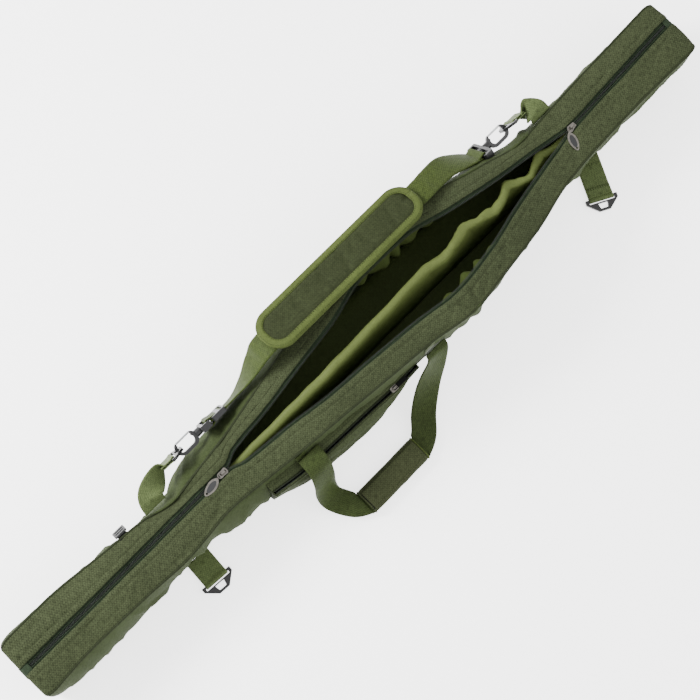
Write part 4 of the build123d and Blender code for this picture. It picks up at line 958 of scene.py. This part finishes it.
pad = pad_form()
remesh = pad.modifiers.new("remesh", "REMESH")
remesh.mode, remesh.voxel_size = "VOXEL", 0.004
apply_modifiers(pad)
before = np.array([v.co for v in pad.data.vertices]) / MM
swell = pad.modifiers.new("swell", "CLOTH")
swell.settings.use_pressure = True
swell.settings.uniform_pressure_force = 4
swell.settings.effector_weights.gravity = 0
for step in range(1, 21):
    bpy.context.scene.frame_set(step)
apply_modifiers(pad)
bpy.context.scene.frame_set(1)
after = np.array([v.co for v in pad.data.vertices]) / MM
shift = after - before
reach = np.linalg.norm(shift, axis=1, keepdims=True)
after = before + shift * np.minimum(1, MOST_SWELL / np.maximum(reach, 1e-9))
off = after - PAD_CENTRE
local = column(off[:, 0], off @ pad_across, off @ pad_normal)
# Soft creases across the foam, deepest in the middle of its width. The rim stays thin enough for the binding.
PAD_CREASES = [(-108, -0.2, 1.2), (-78, 0.2, 1.9), (-52, 0.3, 1.1), (-26, -0.15, 2.3), (8, 0.25, 2.6),
               (36, 0.1, 1.3), (56, -0.3, 2.0), (84, 0.1, 1.4), (102, 0.2, 2.0)]
press = np.zeros(len(local))
middle = 0.4 + 0.6 * np.sin(np.clip((local[:, 1] + 30) / 60, 0, 1) * math.pi)
for x0, slant, deep in PAD_CREASES:
    far = local[:, 0] - x0 - slant * local[:, 1] - 4 * np.sin(local[:, 1] / 12 + x0)
    press += deep * np.exp(-((far / 4.0) ** 2)) * middle
ripple = np.array([noise.noise(Vector(p / 26)) for p in after]) * 0.9
corner_x = np.abs(local[:, 0]) - (OUTER[0] - OUTER[2])
corner_y = np.abs(local[:, 1]) - (OUTER[1] - OUTER[2])
past = np.hypot(np.maximum(corner_x, 0), np.maximum(corner_y, 0))
inside = OUTER[2] - past - np.minimum(np.maximum(corner_x, corner_y), 0)
most = 3.4 + 2.6 * np.clip((inside - 10) / 6, 0, 1)
pressed = np.sign(local[:, 2]) * np.maximum(np.abs(local[:, 2]) - press, 0.5)
local[:, 2] = np.clip(pressed + ripple, -most, most)
after = np.array([pad_frame(*p) for p in local])
mesh = pad.data
mesh.vertices.foreach_set("co", (after * MM).astype(np.float32).ravel())
layer = mesh.uv_layers.new(name="UVMap")
index = np.empty(len(mesh.loops), np.int32)
mesh.loops.foreach_get("vertex_index", index)
layer.data.foreach_set("uv", (local[:, :2] * MM).astype(np.float32)[index].ravel())
mesh.polygons.foreach_set("use_smooth", [True] * len(mesh.polygons))
mesh.materials.clear()
mesh.materials.append(PAD)
smooth = pad.modifiers.new("smooth", "SUBSURF")
smooth.levels = smooth.render_levels = 1
apply_modifiers(pad)
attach(pad, "shoulder_strap")
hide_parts("pad_cover", "pad_foam")

# Binding: a folded tape round the pad's edge.
outer, inner = stadium(*OUTER), stadium(*INNER)
outer, inner = np.concatenate([outer, outer[:1]]), np.concatenate([inner, inner[:1]])
ring = [(0.0, 3.7), (0.04, 4.8), (0.3, 5.1), (0.6, 4.9), (0.86, 4.2), (0.98, 2.6), (1.0, 0), (0.98, -2.6),
        (0.86, -4.2), (0.6, -4.9), (0.3, -5.1), (0.04, -4.8), (0.0, -3.7)]
grid = np.zeros((len(outer), len(ring), 3))
for i in range(len(outer)):
    for j, (t, z) in enumerate(ring):
        grid[i, j] = pad_frame(*(inner[i] + (outer[i] - inner[i]) * t), z)
wobble = 0.35 * fuzz(grid, 16, 130)
wobble[-1] = wobble[0]
grid = grid + normals(grid) * wobble[..., None]
sheet("pad_binding_cloth", grid, 0.8, BINDING, "shoulder_strap", ["pad_binding"], out=-1)
rows = []
for share, height in ((0.14, 5.2), (0.84, 4.5)):
    between = inner * (1 - share) + outer * share
    rows.append((np.array([pad_frame(x, y, height) for x, y in between]), pad_normal))
stitches("pad_stitching", rows, "shoulder_strap", THREAD, 2.4, 1.2, 0.5, 0.3)

# ---------------------------------------------------------------- carried-over hardware
DRESS = {
    BLACK: ["ring_left_butt", "ring_left_tip", "ring_right_butt", "ring_right_tip", "hook_butt",
            "hook_tip", "strap_loop_butt", "strap_loop_tip", "strap_adjuster", "keeper_buckle"],
    CHROME: ["gate_butt", "gate_tip"],
    NICKEL: ["slider_butt", "slider_tip", "pull_butt", "pull_tip", "pull_butt_link", "pull_tip_link",
             "pocket_slider"],
    INLAY: ["pull_butt_inlay", "pull_tip_inlay"],
    ELASTIC: ["pocket_pull"],
}
for material, names in DRESS.items():
    for name in names:
        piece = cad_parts[name]
        for slot in piece.material_slots:
            slot.material = material

# ---------------------------------------------------------------- stage, light and camera, in metres
FLOOR_SIZE, FLOOR_DROP = 12, 0.0004
FLOOR_GLOW, SKY_LIGHT = 2.2, 1.5
bpy.ops.mesh.primitive_plane_add(size=FLOOR_SIZE, location=(0, 0, -FLOOR_DROP))
ground = bpy.context.object
ground.name = "studio_floor"
paper = Nodes("studio_paper", 0.9, 0.1)
paper.shader.inputs["Base Color"].default_value = (0.95, 0.95, 0.95, 1)
paper.shader.inputs["Emission Color"].default_value = (1, 1, 1, 1)
paper.shader.inputs["Emission Strength"].default_value = FLOOR_GLOW
ground.data.materials.append(paper.material)

world = bpy.data.worlds.new("studio")
world.use_nodes = True
world.node_tree.nodes["Background"].inputs[0].default_value = (1, 1, 1, 1)
world.node_tree.nodes["Background"].inputs[1].default_value = SKY_LIGHT
bpy.context.scene.world = world


def lamp(name, place, size, power):
    """A soft square light that shines on the case."""
    light = bpy.data.lights.new(name, "AREA")
    light.size, light.energy = size, power
    piece = bpy.data.objects.new(name, light)
    bpy.context.scene.collection.objects.link(piece)
    piece.location = place
    piece.rotation_euler = (-Vector(place)).to_track_quat("-Z", "Y").to_euler()


lamp("key", (-1.3, 1.8, 1.7), 1.0, 150)
lamp("fill", (0.9, -1.6, 1.8), 1.8, 22)

# The camera looks down on the case, and the case lies along the picture's diagonal.
LENS, SENSOR = 77.9, 36
LOOKED_AT, DISTANCE = Vector((-0.0283, 0, 0.0605)), 2.216
view = Vector((-0.17365, -0.08716, 0.98098)).normalized()
along = (Vector((1, 0, 0)) - view * view.x).normalized()
down = along.cross(view)
right, up = (along + down).normalized(), (along - down).normalized()
camera_data = bpy.data.cameras.new("camera")
camera_data.sensor_width, camera_data.lens = SENSOR, LENS
camera_data.clip_end = 20
camera = bpy.data.objects.new("camera", camera_data)
bpy.context.scene.collection.objects.link(camera)
place = LOOKED_AT + view * DISTANCE
camera.matrix_world = Matrix.Translation(place) @ Matrix((right, up, view)).transposed().to_4x4()
bpy.context.scene.camera = camera
